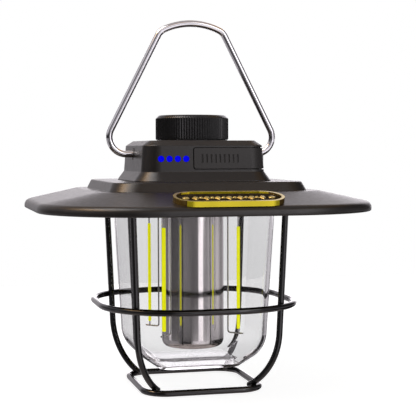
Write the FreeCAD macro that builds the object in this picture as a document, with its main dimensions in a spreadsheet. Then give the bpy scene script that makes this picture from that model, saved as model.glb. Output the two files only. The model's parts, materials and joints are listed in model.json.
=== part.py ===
import FreeCAD, Part
import math
import os
import Sketcher

# Camping lantern: square hat with a dimmer knob, clear shade, wire guard and wire bail.
# Millimetres, +Z up, origin on the ground under the middle, front of the lantern towards -Y.

DIMENSIONS = {
    # Hat brim with its plinth, halves of rounded squares and their corner radii
    "lip_bottom": 69.2, "lip_height": 3.2, "brim_half": 63.0, "brim_corner": 41.1,
    "slope_height": 4.4, "ledge_half": 42.0, "ledge_corner": 15.0,
    "plinth_half": 37.35, "plinth_corner": 10.5, "plinth_height": 3.4,
    "plinth_top_half": 35.75, "plinth_top_corner": 10.3,
    "wall": 1.8, "lip_top_round": 1.6, "lip_bottom_round": 1.2, "roof_hole_half": 18.5,
    # Upper box with its flared skirt
    "flare_half": 26.5, "flare_corner": 9.3, "flare_height": 3.6,
    "box_half": 23.8, "box_corner": 6.5, "box_height": 9.8,
    "box_top_half": 23.1, "box_top_corner": 6.2,
    "crown_half": 20.3, "crown_corner": 3.8, "crown_height": 1.9, "roof": 2.0,
    # Dimmer and its knob
    "knob_radius": 14.2, "knob_height": 9.45, "knob_gap": 0.4, "knob_edge": 1.1,
    "knob_wall": 2.0, "hub_radius": 5.2, "hub_gap": 3.7, "insert_radius": 4.0,
    "shaft_radius": 3.0, "bushing_radius": 3.5, "pot_radius": 8.0, "pot_depth": 5.9,
    "nut_height": 2.0, "nut_radius": 5.4, "washer_height": 0.5, "washer_radius": 5.8,
    "seal_height": 0.3, "seal_width": 1.2,
    # Fits
    "running_fit": 0.06, "fit": 0.1, "play": 0.35,
    # Bail wire
    "bail_wire": 1.3, "pivot_rise": 6.6, "bail_bend": 6.6, "bail_bend_centre": 26.0,
    "bail_rise": 50.6, "bail_leg_angle": 27.1, "bail_shoulder": 5.0, "bail_crown": 26.0,
    "bail_foot_end": 18.8, "bush_radius": 2.3, "bush_flange": 2.9, "bush_flange_height": 0.8,
    "clip_radius": 2.4, "clip_height": 0.7, "clip_gap": 0.3,
    # Guard wires
    "guard_wire": 1.2, "rod_top_reach": 40.9, "rod_slope": 0.0533, "rod_bend_height": 22.8,
    "rod_bend": 25.4, "rod_tip_height": 1.7, "base_sink": 0.25, "ring_sink": 0.55,
    "ring_height": 33.2, "ring_corner": 29.3, "base_corner": 9.0,
    "rod_nut_radius": 2.4, "rod_nut_height": 2.0, "rod_thread": 2.6,
    # Base cover, shade and lamp plate
    "cover_lift": 0.8, "cover_height": 2.0, "cover_gap": 1.0,
    "shade_half": 28.25, "shade_half_height": 63.6, "shade_draft": 0.0514, "shade_corner": 14.0,
    "shade_wall": 1.6, "shade_bend_height": 22.0, "shade_bend": 11.7, "shade_turn": 55.0,
    "shade_bottom": 8.6, "shade_bottom_corner": 5.0,
    "flange_half": 31.0, "flange_corner": 16.0, "flange_height": 1.5, "gate_radius": 1.9,
    "gate_height": 0.4, "gasket_height": 0.8, "plate_height": 2.0,
    # Light filaments and their wires
    "filament_reach": 20.6, "filament_bottom": 23.3, "filament_length": 39.4,
    "filament_width": 1.5, "filament_depth": 0.9, "lead_wire": 0.3, "lead_height": 21.6,
    "lead_outer": 22.7, "lead_inner": 16.0, "lead_bend": 1.0,
    # Tube and cell
    "tube_radius": 12.15, "tube_wall": 0.8, "tube_bottom": 15.0, "tube_round": 3.6,
    "tube_flange": 15.0, "tube_flange_height": 1.0, "pad_height": 2.0, "tab_height": 0.3,
    "tab_radius": 6.0, "cell_length": 49.5, "sleeve_wall": 1.8, "sleeve_gap": 0.3,
    "cell_lead": 0.6, "cell_lead_reach": 3.0,
    # Board, socket and lights
    "board_rise": 6.9, "board_height": 1.6, "board_corner": 3.4,
    "boss_reach": 17.3, "boss_front": 16.0, "boss_radius": 2.6,
    "port_x": 8.0, "socket_width": 8.94, "socket_height": 3.26, "socket_depth": 7.3,
    "socket_wall": 0.3, "socket_setback": 0.3, "tongue_width": 6.7, "tongue_height": 0.7,
    "window_width": 9.8, "window_height": 4.2,
    "light_first": -17.25, "light_pitch": 3.16, "light_rise": 4.86, "light_radius": 1.1,
    "guide_bar": 2.0, "guide_depth": 1.0, "led_size": 1.2,
    # Flap over the port
    "flap_left": -4.85, "flap_rise": 1.1, "flap_height": 7.8, "flap_end": -15.5,
    "flap_thickness": 1.2, "flap_seam": 0.3, "plug_depth": 0.8,
    "pull_proud": 0.4, "pull_rise": 2.0, "pull_height": 3.1, "pull_length": 1.6,
    "anchor_width": 1.6, "anchor_head": 1.4, "anchor_head_height": 1.0,
    # Nameplate
    "name_half": 19.8, "name_depth": 14.6, "name_height": 1.95, "name_sink": 0.7,
    "name_rim": 1.1, "name_reach": 55.0, "rivet_reach": 15.4, "rivet_head": 1.3,
    "rivet_head_height": 0.5, "rivet_shank": 0.8,
    # Screws
    "screw_radius": 1.0, "screw_head": 1.9, "screw_head_height": 1.2,
    "cover_screw_reach": 51.0, "cover_screw_grip": 2.6, "cover_boss": 3.0,
    "housing_screw_reach": 30.7, "housing_screw_grip": 2.6, "board_screw_grip": 3.6,
    "clamp_reach": 27.0, "clamp_radius": 2.4,
}

# Sizes that follow from the ones above
FOLLOWING = {
    "board_half": "=box_top_half - wall - anchor_head_height",
    "cell_radius": "=tube_radius - tube_wall - sleeve_gap - sleeve_wall - fit",
}
SIZES = {**DIMENSIONS, **FOLLOWING}

doc = FreeCAD.newDocument("lantern")
sheet = doc.addObject("Spreadsheet::Sheet", "dims")
for row, (alias, size) in enumerate(SIZES.items(), start=1):
    sheet.set(f"A{row}", alias)
    sheet.set(f"B{row}", str(size))
    sheet.setAlias(f"B{row}", alias)
doc.recompute()


class Size:
    """A length that knows its formula in the sheet and its present value."""

    def __init__(self, text, number):
        self.text = text
        self.number = number

    def joined(self, other, sign, number):
        return Size(f"({self.text} {sign} {as_size(other).text})", number)

    def __add__(self, other):
        return self.joined(other, "+", self.number + as_size(other).number)

    def __sub__(self, other):
        return self.joined(other, "-", self.number - as_size(other).number)

    def __mul__(self, other):
        return self.joined(other, "*", self.number * as_size(other).number)

    def __truediv__(self, other):
        return self.joined(other, "/", self.number / as_size(other).number)

    def __neg__(self):
        return Size(f"(0 - {self.text})", -self.number)


def as_size(value):
    if isinstance(value, Size):
        return value
    return Size(repr(float(value)), float(value))


def root(value):
    return Size(f"sqrt({value.text})", math.sqrt(value.number))


def sine(degrees):
    return Size(f"sin({degrees.text} * 1deg)", math.sin(math.radians(degrees.number)))


def cosine(degrees):
    return Size(f"cos({degrees.text} * 1deg)", math.cos(math.radians(degrees.number)))


class Dims:
    """Each size of the sheet as an attribute."""

    def __init__(self):
        for name in SIZES:
            setattr(self, name, Size(f"dims.{name}", float(sheet.get(name))))


d = Dims()
ZERO = as_size(0)
SQRT2 = math.sqrt(2)
CORNERS = {"front_left": 225, "front_right": 315, "back_right": 45, "back_left": 135}

# Levels up the lantern
lip_top = d.lip_bottom + d.lip_height
ledge = lip_top + d.slope_height
plinth_top = ledge + d.plinth_height
flare_top = plinth_top + d.flare_height
box_top = flare_top + d.box_height
crown = box_top + d.crown_height
ceiling = crown - d.roof
plinth_ceiling = plinth_top - d.wall
cover_bottom = d.lip_bottom + d.cover_lift
cover_top = cover_bottom + d.cover_height
flange_top = cover_top + d.flange_height
gasket_top = flange_top + d.gasket_height
plate_top = gasket_top + d.plate_height
tube_top = plate_top + d.tube_flange_height
board_top = plinth_top + d.board_rise
board_bottom = board_top - d.board_height
port_height = board_top + d.socket_height / 2
light_height = flare_top + d.light_rise
flap_bottom = flare_top + d.flap_rise
flap_top = flap_bottom + d.flap_height
bail_pivot = flare_top + d.pivot_rise
bail_top = bail_pivot + d.bail_rise
knob_bottom = crown + d.knob_gap
knob_top = knob_bottom + d.knob_height
inner_half = d.box_top_half - d.wall
inner_corner = d.box_top_corner - d.wall

parts = {}


def bind(thing, prop, size):
    thing.setExpression(prop, as_size(size).text)


def keep(name, thing):
    """Give a finished sub-part its label and put it on the list of parts."""
    thing.Label = name
    parts[name] = thing
    return thing


def place(thing, x=ZERO, y=ZERO, z=ZERO):
    for axis, size in (("x", x), ("y", y), ("z", z)):
        bind(thing, f"Placement.Base.{axis}", size)
    return thing


# Sketch helpers

def new_body(name):
    return doc.addObject("PartDesign::Body", f"{name}_body")


def sketch_on(body, role, lift=ZERO):
    sketch = body.newObject("Sketcher::SketchObject", f"{body.Name}_sketch")
    plane = next(f for f in body.Origin.OriginFeatures if f.Role == role)
    sketch.AttachmentSupport = [(plane, "")]
    sketch.MapMode = "FlatFace"
    bind(sketch, "AttachmentOffset.Base.z", lift)
    return sketch


def fix(sketch, kind, *refs, size):
    """Add a driving dimension and bind it to the sheet."""
    size = as_size(size)
    index = sketch.addConstraint(Sketcher.Constraint(kind, *refs, size.number))
    sketch.renameConstraint(index, f"size{index}")
    sketch.setExpression(f"Constraints.size{index}", size.text)


def pin_point(sketch, geo, end, x, y):
    fix(sketch, "DistanceX", -1, 1, geo, end, size=x)
    fix(sketch, "DistanceY", -1, 1, geo, end, size=y)


def tie(sketch, kind, *refs):
    sketch.addConstraint(Sketcher.Constraint(kind, *refs))


def add_circle(sketch, radius, x=ZERO, y=ZERO):
    x, y, radius = as_size(x), as_size(y), as_size(radius)
    centre = FreeCAD.Vector(x.number, y.number, 0)
    normal = FreeCAD.Vector(0, 0, 1)
    geo = sketch.addGeometry(Part.Circle(centre, normal, radius.number))
    pin_point(sketch, geo, 3, x, y)
    fix(sketch, "Radius", geo, size=radius)


def add_polygon(sketch, points):
    """Closed outline of straight edges, every corner bound to the sheet."""
    points = [(as_size(x), as_size(y)) for x, y in points]
    spots = [FreeCAD.Vector(x.number, y.number, 0) for x, y in points]
    first = sketch.GeometryCount
    for start, end in zip(spots, spots[1:] + spots[:1]):
        sketch.addGeometry(Part.LineSegment(start, end))
    for i, (x, y) in enumerate(points):
        tie(sketch, "Coincident", first + i, 2, first + (i + 1) % len(points), 1)
        pin_point(sketch, first + i, 1, x, y)


def add_rectangle(sketch, left, right, bottom, top):
    add_polygon(sketch, [(left, bottom), (right, bottom), (right, top), (left, top)])


def add_rounded_square(sketch, half, corner):
    """Square with round corners about the origin: lines and arcs in turn, from the front side on."""
    half, corner = as_size(half), as_size(corner)
    flat = half.number - corner.number
    first = sketch.GeometryCount
    for k in range(4):
        turn = FreeCAD.Rotation(FreeCAD.Vector(0, 0, 1), 90 * k)
        start = turn.multVec(FreeCAD.Vector(-flat, -half.number, 0))
        end = turn.multVec(FreeCAD.Vector(flat, -half.number, 0))
        centre = turn.multVec(FreeCAD.Vector(flat, -flat, 0))
        sketch.addGeometry(Part.LineSegment(start, end))
        circle = Part.Circle(centre, FreeCAD.Vector(0, 0, 1), corner.number)
        begin = math.radians(90 * k - 90)
        sketch.addGeometry(Part.ArcOfCircle(circle, begin, begin + math.pi / 2))
    for k in range(4):
        line, arc = first + 2 * k, first + 2 * k + 1
        tie(sketch, "Tangent", line, 2, arc, 1)
        tie(sketch, "Tangent", arc, 2, first + (2 * k + 2) % 8, 1)
        tie(sketch, "Vertical" if k % 2 else "Horizontal", line)
        if k:
            tie(sketch, "Equal", first + 1, arc)
    fix(sketch, "Radius", first + 1, size=corner)
    fix(sketch, "DistanceY", first, 1, -1, 1, size=half)
    fix(sketch, "DistanceX", -1, 1, first + 2, 1, size=half)
    fix(sketch, "DistanceY", -1, 1, first + 4, 1, size=half)
    fix(sketch, "DistanceX", first + 6, 1, -1, 1, size=half)


# Feature helpers

def pad(body, sketch, length, reverse=False):
    feature = body.newObject("PartDesign::Pad", f"{body.Name}_pad")
    feature.Profile = sketch
    feature.Reversed = reverse
    bind(feature, "Length", length)
    return feature


def pocket(body, sketch, length, reverse=False):
    """Cut along the sketch's normal backwards, or forwards with reverse, and check that it cut."""
    doc.recompute()
    before = body.Shape.Volume
    feature = body.newObject("PartDesign::Pocket", f"{body.Name}_pocket")
    feature.Profile = sketch
    feature.Reversed = reverse
    bind(feature, "Length", length)
    doc.recompute()
    if body.Shape.Volume >= before:
        raise RuntimeError(f"{feature.Name} cuts nothing")
    return feature


def revolve(body, sketch):
    feature = body.newObject("PartDesign::Revolution", f"{body.Name}_revolution")
    feature.Profile = sketch
    feature.ReferenceAxis = (sketch, ["V_Axis"])
    feature.Angle = 360
    return feature


def loft(body, sections, kind="PartDesign::AdditiveLoft"):
    """Ruled loft through rounded squares, each given as height, half width and corner radius."""
    sketches = []
    for height, half, corner in sections:
        sketch = sketch_on(body, "XY_Plane", height)
        add_rounded_square(sketch, half, corner)
        sketches.append(sketch)
    feature = body.newObject(kind, f"{body.Name}_loft")
    feature.Profile = sketches[0]
    feature.Sections = sketches[1:]
    feature.Ruled = True
    return feature


def carve(body, sections):
    return loft(body, sections, "PartDesign::SubtractiveLoft")


def square_pad(body, height, length, half, corner):
    sketch = sketch_on(body, "XY_Plane", height)
    add_rounded_square(sketch, half, corner)
    return pad(body, sketch, length)


def square_pocket(body, height, length, half, corner):
    sketch = sketch_on(body, "XY_Plane", height)
    add_rounded_square(sketch, half, corner)
    return pocket(body, sketch, length, reverse=True)


def round_pocket(body, height, length, radius, centres):
    """Round holes upwards from a height."""
    sketch = sketch_on(body, "XY_Plane", height)
    for x, y in centres:
        add_circle(sketch, radius, x, y)
    return pocket(body, sketch, length, reverse=True)


def round_pads(body, height, length, radius, centres):
    sketch = sketch_on(body, "XY_Plane", height)
    for x, y in centres:
        add_circle(sketch, radius, x, y)
    return pad(body, sketch, length)


def fillet(body, edges, radius):
    base = body.Tip
    feature = body.newObject("PartDesign::Fillet", f"{body.Name}_fillet")
    feature.Base = (base, edges)
    bind(feature, "Radius", radius)
    return feature


def turned(name, outline):
    """Round piece from half of its section, as radius and height."""
    body = new_body(name)
    sketch = sketch_on(body, "XZ_Plane")
    add_polygon(sketch, outline)
    revolve(body, sketch)
    return body


def turned_ring(name, inner, outer, bottom, top):
    return turned(name, [(inner, bottom), (outer, bottom), (outer, top), (inner, top)])


def pipe(body, profile, spine):
    feature = body.newObject("PartDesign::AdditivePipe", f"{body.Name}_pipe")
    feature.Profile = profile
    feature.Spine = spine
    return feature


# Primitive helpers

def cylinder(name, radius, height, x=ZERO, y=ZERO, z=ZERO):
    thing = doc.addObject("Part::Cylinder", name)
    bind(thing, "Radius", radius)
    bind(thing, "Height", height)
    return place(thing, x, y, z)


def box(name, x, y, z):
    """Box from pairs of low and high limits."""
    thing = doc.addObject("Part::Box", name)
    for prop, (low, high) in (("Length", x), ("Width", y), ("Height", z)):
        bind(thing, prop, as_size(high) - low)
    return place(thing, as_size(x[0]), as_size(y[0]), as_size(z[0]))


def cut(name, base, tool):
    thing = doc.addObject("Part::Cut", name)
    thing.Base = base
    thing.Tool = tool
    return thing


def common(name, base, tool):
    thing = doc.addObject("Part::Common", name)
    thing.Base = base
    thing.Tool = tool
    return thing


def fuse(name, pieces):
    thing = doc.addObject("Part::MultiFuse", name)
    thing.Shapes = pieces
    return thing


def group(name, pieces):
    thing = doc.addObject("Part::Compound", name)
    thing.Links = pieces
    return thing


def around(reach, turn=45):
    """Four places about the axis at a reach, the first at an angle."""
    spots = []
    for k in range(4):
        angle = math.radians(turn + 90 * k)
        spots.append((reach * round(math.cos(angle), 12), reach * round(math.sin(angle), 12)))
    return spots


def screws(name, spots, seat, grip):
    """Pan-head screws driven upwards, the heads under a seat and the shanks above it."""
    made = []
    for k, (x, y) in enumerate(spots):
        head = cylinder(f"{name}_head{k}", d.screw_head, d.screw_head_height,
                        x, y, seat - d.screw_head_height)
        shank = cylinder(f"{name}_shank{k}", d.screw_radius, grip, x, y, seat)
        made.append(fuse(f"{name}_{k}", [head, shank]))
    return keep(name, group(f"{name}_group", made))


# Hat brim

def brim_inside(height):
    """Half width and corner radius of the brim's hollow at a height under its slope."""
    share = (height - (lip_top - d.wall)) / d.slope_height
    half = d.brim_half - d.wall - share * (d.brim_half - d.wall - d.ledge_half)
    corner = d.brim_corner - d.wall - share * (d.brim_corner - d.wall - d.ledge_corner)
    return half, corner


def slope_frame(thing):
    """Lay a piece on the front slope of the brim, at the nameplate's place."""
    run = d.brim_half - d.ledge_half
    drop = (d.name_reach - d.ledge_half) * d.slope_height / run
    place(thing, ZERO, -d.name_reach, ledge - drop)
    thing.Placement.Rotation = FreeCAD.Rotation(FreeCAD.Vector(1, 0, 0), 0)
    thing.setExpression("Placement.Rotation.Axis.x", "1")
    thing.setExpression("Placement.Rotation.Axis.y", "0")
    thing.setExpression("Placement.Rotation.Axis.z", "0")
    thing.setExpression("Placement.Rotation.Angle", f"atan({d.slope_height.text} / {run.text})")
    return thing


def round_lip(body):
    """Fillet the outer edges of the lip."""
    for height, radius in ((d.lip_bottom, d.lip_bottom_round), (lip_top, d.lip_top_round)):
        doc.recompute()
        names = []
        reach = d.brim_half.number - d.wall.number / 2
        for i, edge in enumerate(body.Shape.Edges, start=1):
            middle = edge.valueAt((edge.FirstParameter + edge.LastParameter) / 2)
            level = abs(edge.BoundBox.ZMin - height.number) < 0.01 and edge.BoundBox.ZLength < 0.01
            far = max(abs(middle.x), abs(middle.y))
            corner_far = math.hypot(middle.x, middle.y)
            if level and (far > reach or corner_far > d.brim_half.number + d.wall.number):
                names.append(f"Edge{i}")
        fillet(body, names, radius)


def build_hat_brim():
    body = new_body("hat_brim")
    square_pad(body, d.lip_bottom, d.lip_height, d.brim_half, d.brim_corner)
    loft(body, [(lip_top, d.brim_half, d.brim_corner), (ledge, d.ledge_half, d.ledge_corner)])
    loft(body, [(ledge, d.plinth_half, d.plinth_corner),
                (plinth_top, d.plinth_top_half, d.plinth_top_corner)])
    round_lip(body)
    rim_half, rim_corner = brim_inside(lip_top - d.wall)
    square_pocket(body, d.lip_bottom, d.lip_height - d.wall, rim_half, rim_corner)
    carve(body, [(lip_top - d.wall, rim_half, rim_corner),
                 (ledge - d.wall, d.ledge_half, d.ledge_corner)])
    carve(body, [(ledge - d.wall, d.plinth_half - d.wall, d.plinth_corner - d.wall),
                 (plinth_ceiling, d.plinth_top_half - d.wall, d.plinth_top_corner - d.wall)])
    round_pads(body, cover_top, ledge - d.wall / 2 - cover_top, d.cover_boss,
               around(d.cover_screw_reach))
    round_pads(body, plate_top, plinth_ceiling - plate_top + d.wall / 2, d.clamp_radius,
               around(d.clamp_reach, 0))
    square_pocket(body, plinth_ceiling, d.wall, d.roof_hole_half, inner_corner)
    round_pocket(body, plinth_ceiling, d.wall, d.screw_radius + d.fit,
                 around(d.housing_screw_reach))
    round_pocket(body, cover_top, d.cover_screw_grip, d.screw_radius + d.fit,
                 around(d.cover_screw_reach))
    holes = []
    for side in (-1, 1):
        hole = cylinder(f"rivet_hole{side}", d.rivet_shank + d.fit, d.wall * 4,
                        d.rivet_reach * side, ZERO, -d.wall * 2)
        holes.append(hole)
    drill = slope_frame(group("rivet_holes", holes))
    return keep("hat_brim", cut("hat_brim_cut", body, drill))


# Upper box

def box_ring(name, inset):
    """Skin of the box's straight part, from its outer face inwards by an inset."""
    body = new_body(name)
    loft(body, [(flare_top, d.box_half, d.box_corner), (box_top, d.box_top_half, d.box_top_corner)])
    carve(body, [(flare_top, d.box_half - inset, d.box_corner - inset),
                 (box_top, d.box_top_half - inset, d.box_top_corner - inset)])
    return body


def flap_region(name, seam):
    """Block that holds the flap: the right part of the front and the corner beside it."""
    far = d.box_half + d.wall
    return box(name, (d.flap_left - seam, far), (-far, d.flap_end + seam),
               (flap_bottom - seam, flap_top + seam))


def face_at(height):
    """Distance of the box's side faces from the axis at a height."""
    return d.box_half - (d.box_half - d.box_top_half) * (height - flare_top) / d.box_height


def board_spots():
    """Places of the board's bosses: one in front, two in the back corners."""
    return [(ZERO, -d.boss_front), (d.boss_reach, d.boss_reach), (-d.boss_reach, d.boss_reach)]


def light_spots():
    return [d.light_first + d.light_pitch * k for k in range(4)]


def front_hole(name, radius, x, z, near, far):
    """Round bar along Y between two distances in front of the axis."""
    thing = cylinder(name, radius, far - near, x, -near, z)
    thing.Placement.Rotation = FreeCAD.Rotation(FreeCAD.Vector(1, 0, 0), 90)
    return thing


def side_bar(name, radius, side, near, far):
    """Round bar along X at the bail's pivots, between two distances from the axis."""
    thing = cylinder(name, radius, far - near, near * side, ZERO, bail_pivot)
    thing.Placement.Rotation = FreeCAD.Rotation(FreeCAD.Vector(0, 1, 0), 90 * side)
    return thing


def build_top_housing():
    body = new_body("top_housing")
    loft(body, [(plinth_top, d.flare_half, d.flare_corner), (flare_top, d.box_half, d.box_corner)])
    loft(body, [(flare_top, d.box_half, d.box_corner), (box_top, d.box_top_half, d.box_top_corner)])
    loft(body, [(box_top, d.box_top_half, d.box_top_corner), (crown, d.crown_half, d.crown_corner)])
    square_pocket(body, plinth_top, ceiling - plinth_top, inner_half, inner_corner)
    round_pads(body, board_top, ceiling - board_top + d.roof / 2, d.boss_radius, board_spots())
    round_pocket(body, board_top, d.board_screw_grip, d.screw_radius + d.fit, board_spots())
    round_pocket(body, plinth_top, d.housing_screw_grip, d.screw_radius + d.fit,
                 around(d.housing_screw_reach))
    round_pocket(body, ceiling, d.roof, d.bushing_radius + d.fit, [(ZERO, ZERO)])
    deep = d.wall * 3
    tools = [common("flap_recess", box_ring("recess_ring", d.flap_thickness + d.flap_seam / 2),
                    flap_region("recess_region", d.flap_seam))]
    tools.append(box("port_window",
                     (d.port_x - d.window_width / 2, d.port_x + d.window_width / 2),
                     (-d.box_half, -inner_half + d.wall / 2),
                     (port_height - d.window_height / 2, port_height + d.window_height / 2)))
    tools.append(box("anchor_slot",
                     (d.flap_left + d.flap_seam, d.flap_left + d.flap_seam + d.anchor_width + d.fit * 2),
                     (-d.box_half, -inner_half + d.wall / 2),
                     (flap_bottom + d.wall / 2, flap_top - d.wall / 2)))
    for k, x in enumerate(light_spots()):
        tools.append(front_hole(f"light_hole{k}", d.light_radius + d.fit, x, light_height,
                                inner_half - d.wall / 2, d.box_half + deep))
    for side in (-1, 1):
        tools.append(side_bar(f"bush_hole{side}", d.bush_radius + d.fit, side,
                              inner_half - d.wall / 2, d.box_half + deep))
    return keep("top_housing", cut("top_housing_cut", body, fuse("housing_tools", tools)))


# Port flap, socket and lights

def build_port_cover():
    skin = common("flap_skin", box_ring("flap_ring", d.flap_thickness),
                  flap_region("flap_block", ZERO))
    face = face_at(port_height)
    plug_half = d.window_width / 2 - d.play
    plug_rise = d.window_height / 2 - d.play
    plug = box("flap_plug", (d.port_x - plug_half, d.port_x + plug_half),
               (-face + d.flap_thickness / 2, -face + d.flap_thickness + d.plug_depth),
               (port_height - plug_rise, port_height + plug_rise))
    tab = box("flap_tab", (face - d.flap_thickness / 2, face + d.pull_proud),
              (d.flap_end - d.pull_length - d.flap_seam, d.flap_end - d.flap_seam),
              (flap_bottom + d.pull_rise, flap_bottom + d.pull_rise + d.pull_height))
    keep("port_cover", fuse("port_cover_fuse", [skin, plug, tab]))

    left = d.flap_left + d.flap_seam + d.fit
    low, high = flap_bottom + d.wall / 2 + d.fit, flap_top - d.wall / 2 - d.fit
    neck = box("anchor_neck", (left, left + d.anchor_width),
               (-face + d.flap_thickness + d.flap_seam, -inner_half + d.anchor_head_height), (low, high))
    head = box("anchor_bar", (left - d.anchor_head, left + d.anchor_width + d.anchor_head),
               (-inner_half, -inner_half + d.anchor_head_height), (low, high))
    keep("cover_anchor", fuse("cover_anchor_fuse", [neck, head]))


def build_socket():
    front = -inner_half + d.socket_setback
    left, right = d.port_x - d.socket_width / 2, d.port_x + d.socket_width / 2
    top = board_top + d.socket_height
    shell = box("socket_block", (left, right), (front, front + d.socket_depth), (board_top, top))
    hollow = box("socket_hollow", (left + d.socket_wall, right - d.socket_wall),
                 (front - d.socket_wall, front + d.socket_depth - d.socket_wall),
                 (board_top + d.socket_wall, top - d.socket_wall))
    keep("usb_socket", cut("usb_socket_cut", shell, hollow))
    keep("usb_tongue", box("usb_tongue_box",
                           (d.port_x - d.tongue_width / 2, d.port_x + d.tongue_width / 2),
                           (front + d.wall / 2, front + d.socket_depth - d.socket_wall),
                           (port_height - d.tongue_height / 2, port_height + d.tongue_height / 2)))


def build_indicator():
    face = face_at(light_height)
    bar_front = inner_half - d.wall / 2
    pins = []
    leds = []
    for k, x in enumerate(light_spots()):
        pins.append(front_hole(f"light_pin{k}", d.light_radius, x, light_height,
                               bar_front - d.guide_depth / 2, face))
        back = bar_front - d.guide_depth - d.fit
        leds.append(box(f"led{k}", (x - d.led_size / 2, x + d.led_size / 2),
                        (-back, -back + d.led_size),
                        (board_top, light_height + d.led_size / 2)))
    last = d.light_first + d.light_pitch * (len(pins) - 1)
    bar = box("light_bar", (d.light_first - d.light_radius, last + d.light_radius),
              (-bar_front, -bar_front + d.guide_depth),
              (light_height - d.guide_bar / 2, light_height + d.guide_bar / 2))
    keep("indicator_guide", fuse("indicator_guide_fuse", pins + [bar]))
    keep("indicator_leds", group("indicator_leds_group", leds))


def build_board():
    body = new_body("driver_board")
    square_pad(body, board_bottom, d.board_height, d.board_half, d.board_corner)
    round_pocket(body, board_bottom, d.board_height, d.screw_radius + d.fit, board_spots())
    keep("driver_board", body)
    screws("board_screws", board_spots(), board_bottom,
           d.board_height + d.board_screw_grip - d.fit)


# Dimmer and knob

def build_dimmer():
    bore = d.shaft_radius + d.running_fit
    pot_bottom = ceiling - d.pot_depth
    thread_top = crown + d.washer_height + d.nut_height + d.fit
    bore_bottom = pot_bottom + d.wall / 2
    keep("pot_body", turned("pot_body", [
        (ZERO, pot_bottom), (d.pot_radius, pot_bottom), (d.pot_radius, ceiling),
        (d.bushing_radius, ceiling), (d.bushing_radius, thread_top), (bore, thread_top),
        (bore, bore_bottom), (ZERO, bore_bottom)]))
    nut_bore = d.bushing_radius + d.fit
    washer_top = crown + d.washer_height
    keep("pot_washer", turned_ring("pot_washer", nut_bore, d.washer_radius, crown, washer_top))
    nut = new_body("pot_nut")
    sketch = sketch_on(nut, "XY_Plane", washer_top)
    corners = [math.radians(60 * k) for k in range(6)]
    add_polygon(sketch, [(d.nut_radius * math.cos(a), d.nut_radius * math.sin(a)) for a in corners])
    add_circle(sketch, nut_bore)
    pad(nut, sketch, d.nut_height)
    keep("pot_nut", nut)

    hub_bottom = crown + d.hub_gap
    insert_top = knob_top - d.knob_wall * 1.5
    shaft_top = insert_top - d.running_fit
    keep("pot_shaft", cylinder("pot_shaft_rod", d.shaft_radius, shaft_top - bore_bottom - d.fit,
                               z=bore_bottom + d.fit))
    keep("knob_insert", turned_ring("knob_insert", d.shaft_radius, d.insert_radius, hub_bottom, insert_top))
    hollow = d.knob_radius - d.knob_wall
    under = knob_top - d.knob_wall
    keep("dimmer_knob", turned("dimmer_knob", [
        (hollow, knob_bottom), (d.knob_radius, knob_bottom), (d.knob_radius, knob_top - d.knob_edge),
        (d.knob_radius - d.knob_edge, knob_top), (ZERO, knob_top), (ZERO, insert_top),
        (d.insert_radius, insert_top), (d.insert_radius, hub_bottom), (d.hub_radius + d.wall, hub_bottom),
        (d.hub_radius + d.wall, under), (hollow, under)]))
    keep("knob_seal", turned_ring("knob_seal", hollow + d.play, hollow + d.play + d.seal_width,
                                  crown, crown + d.seal_height))


# Bail

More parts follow.
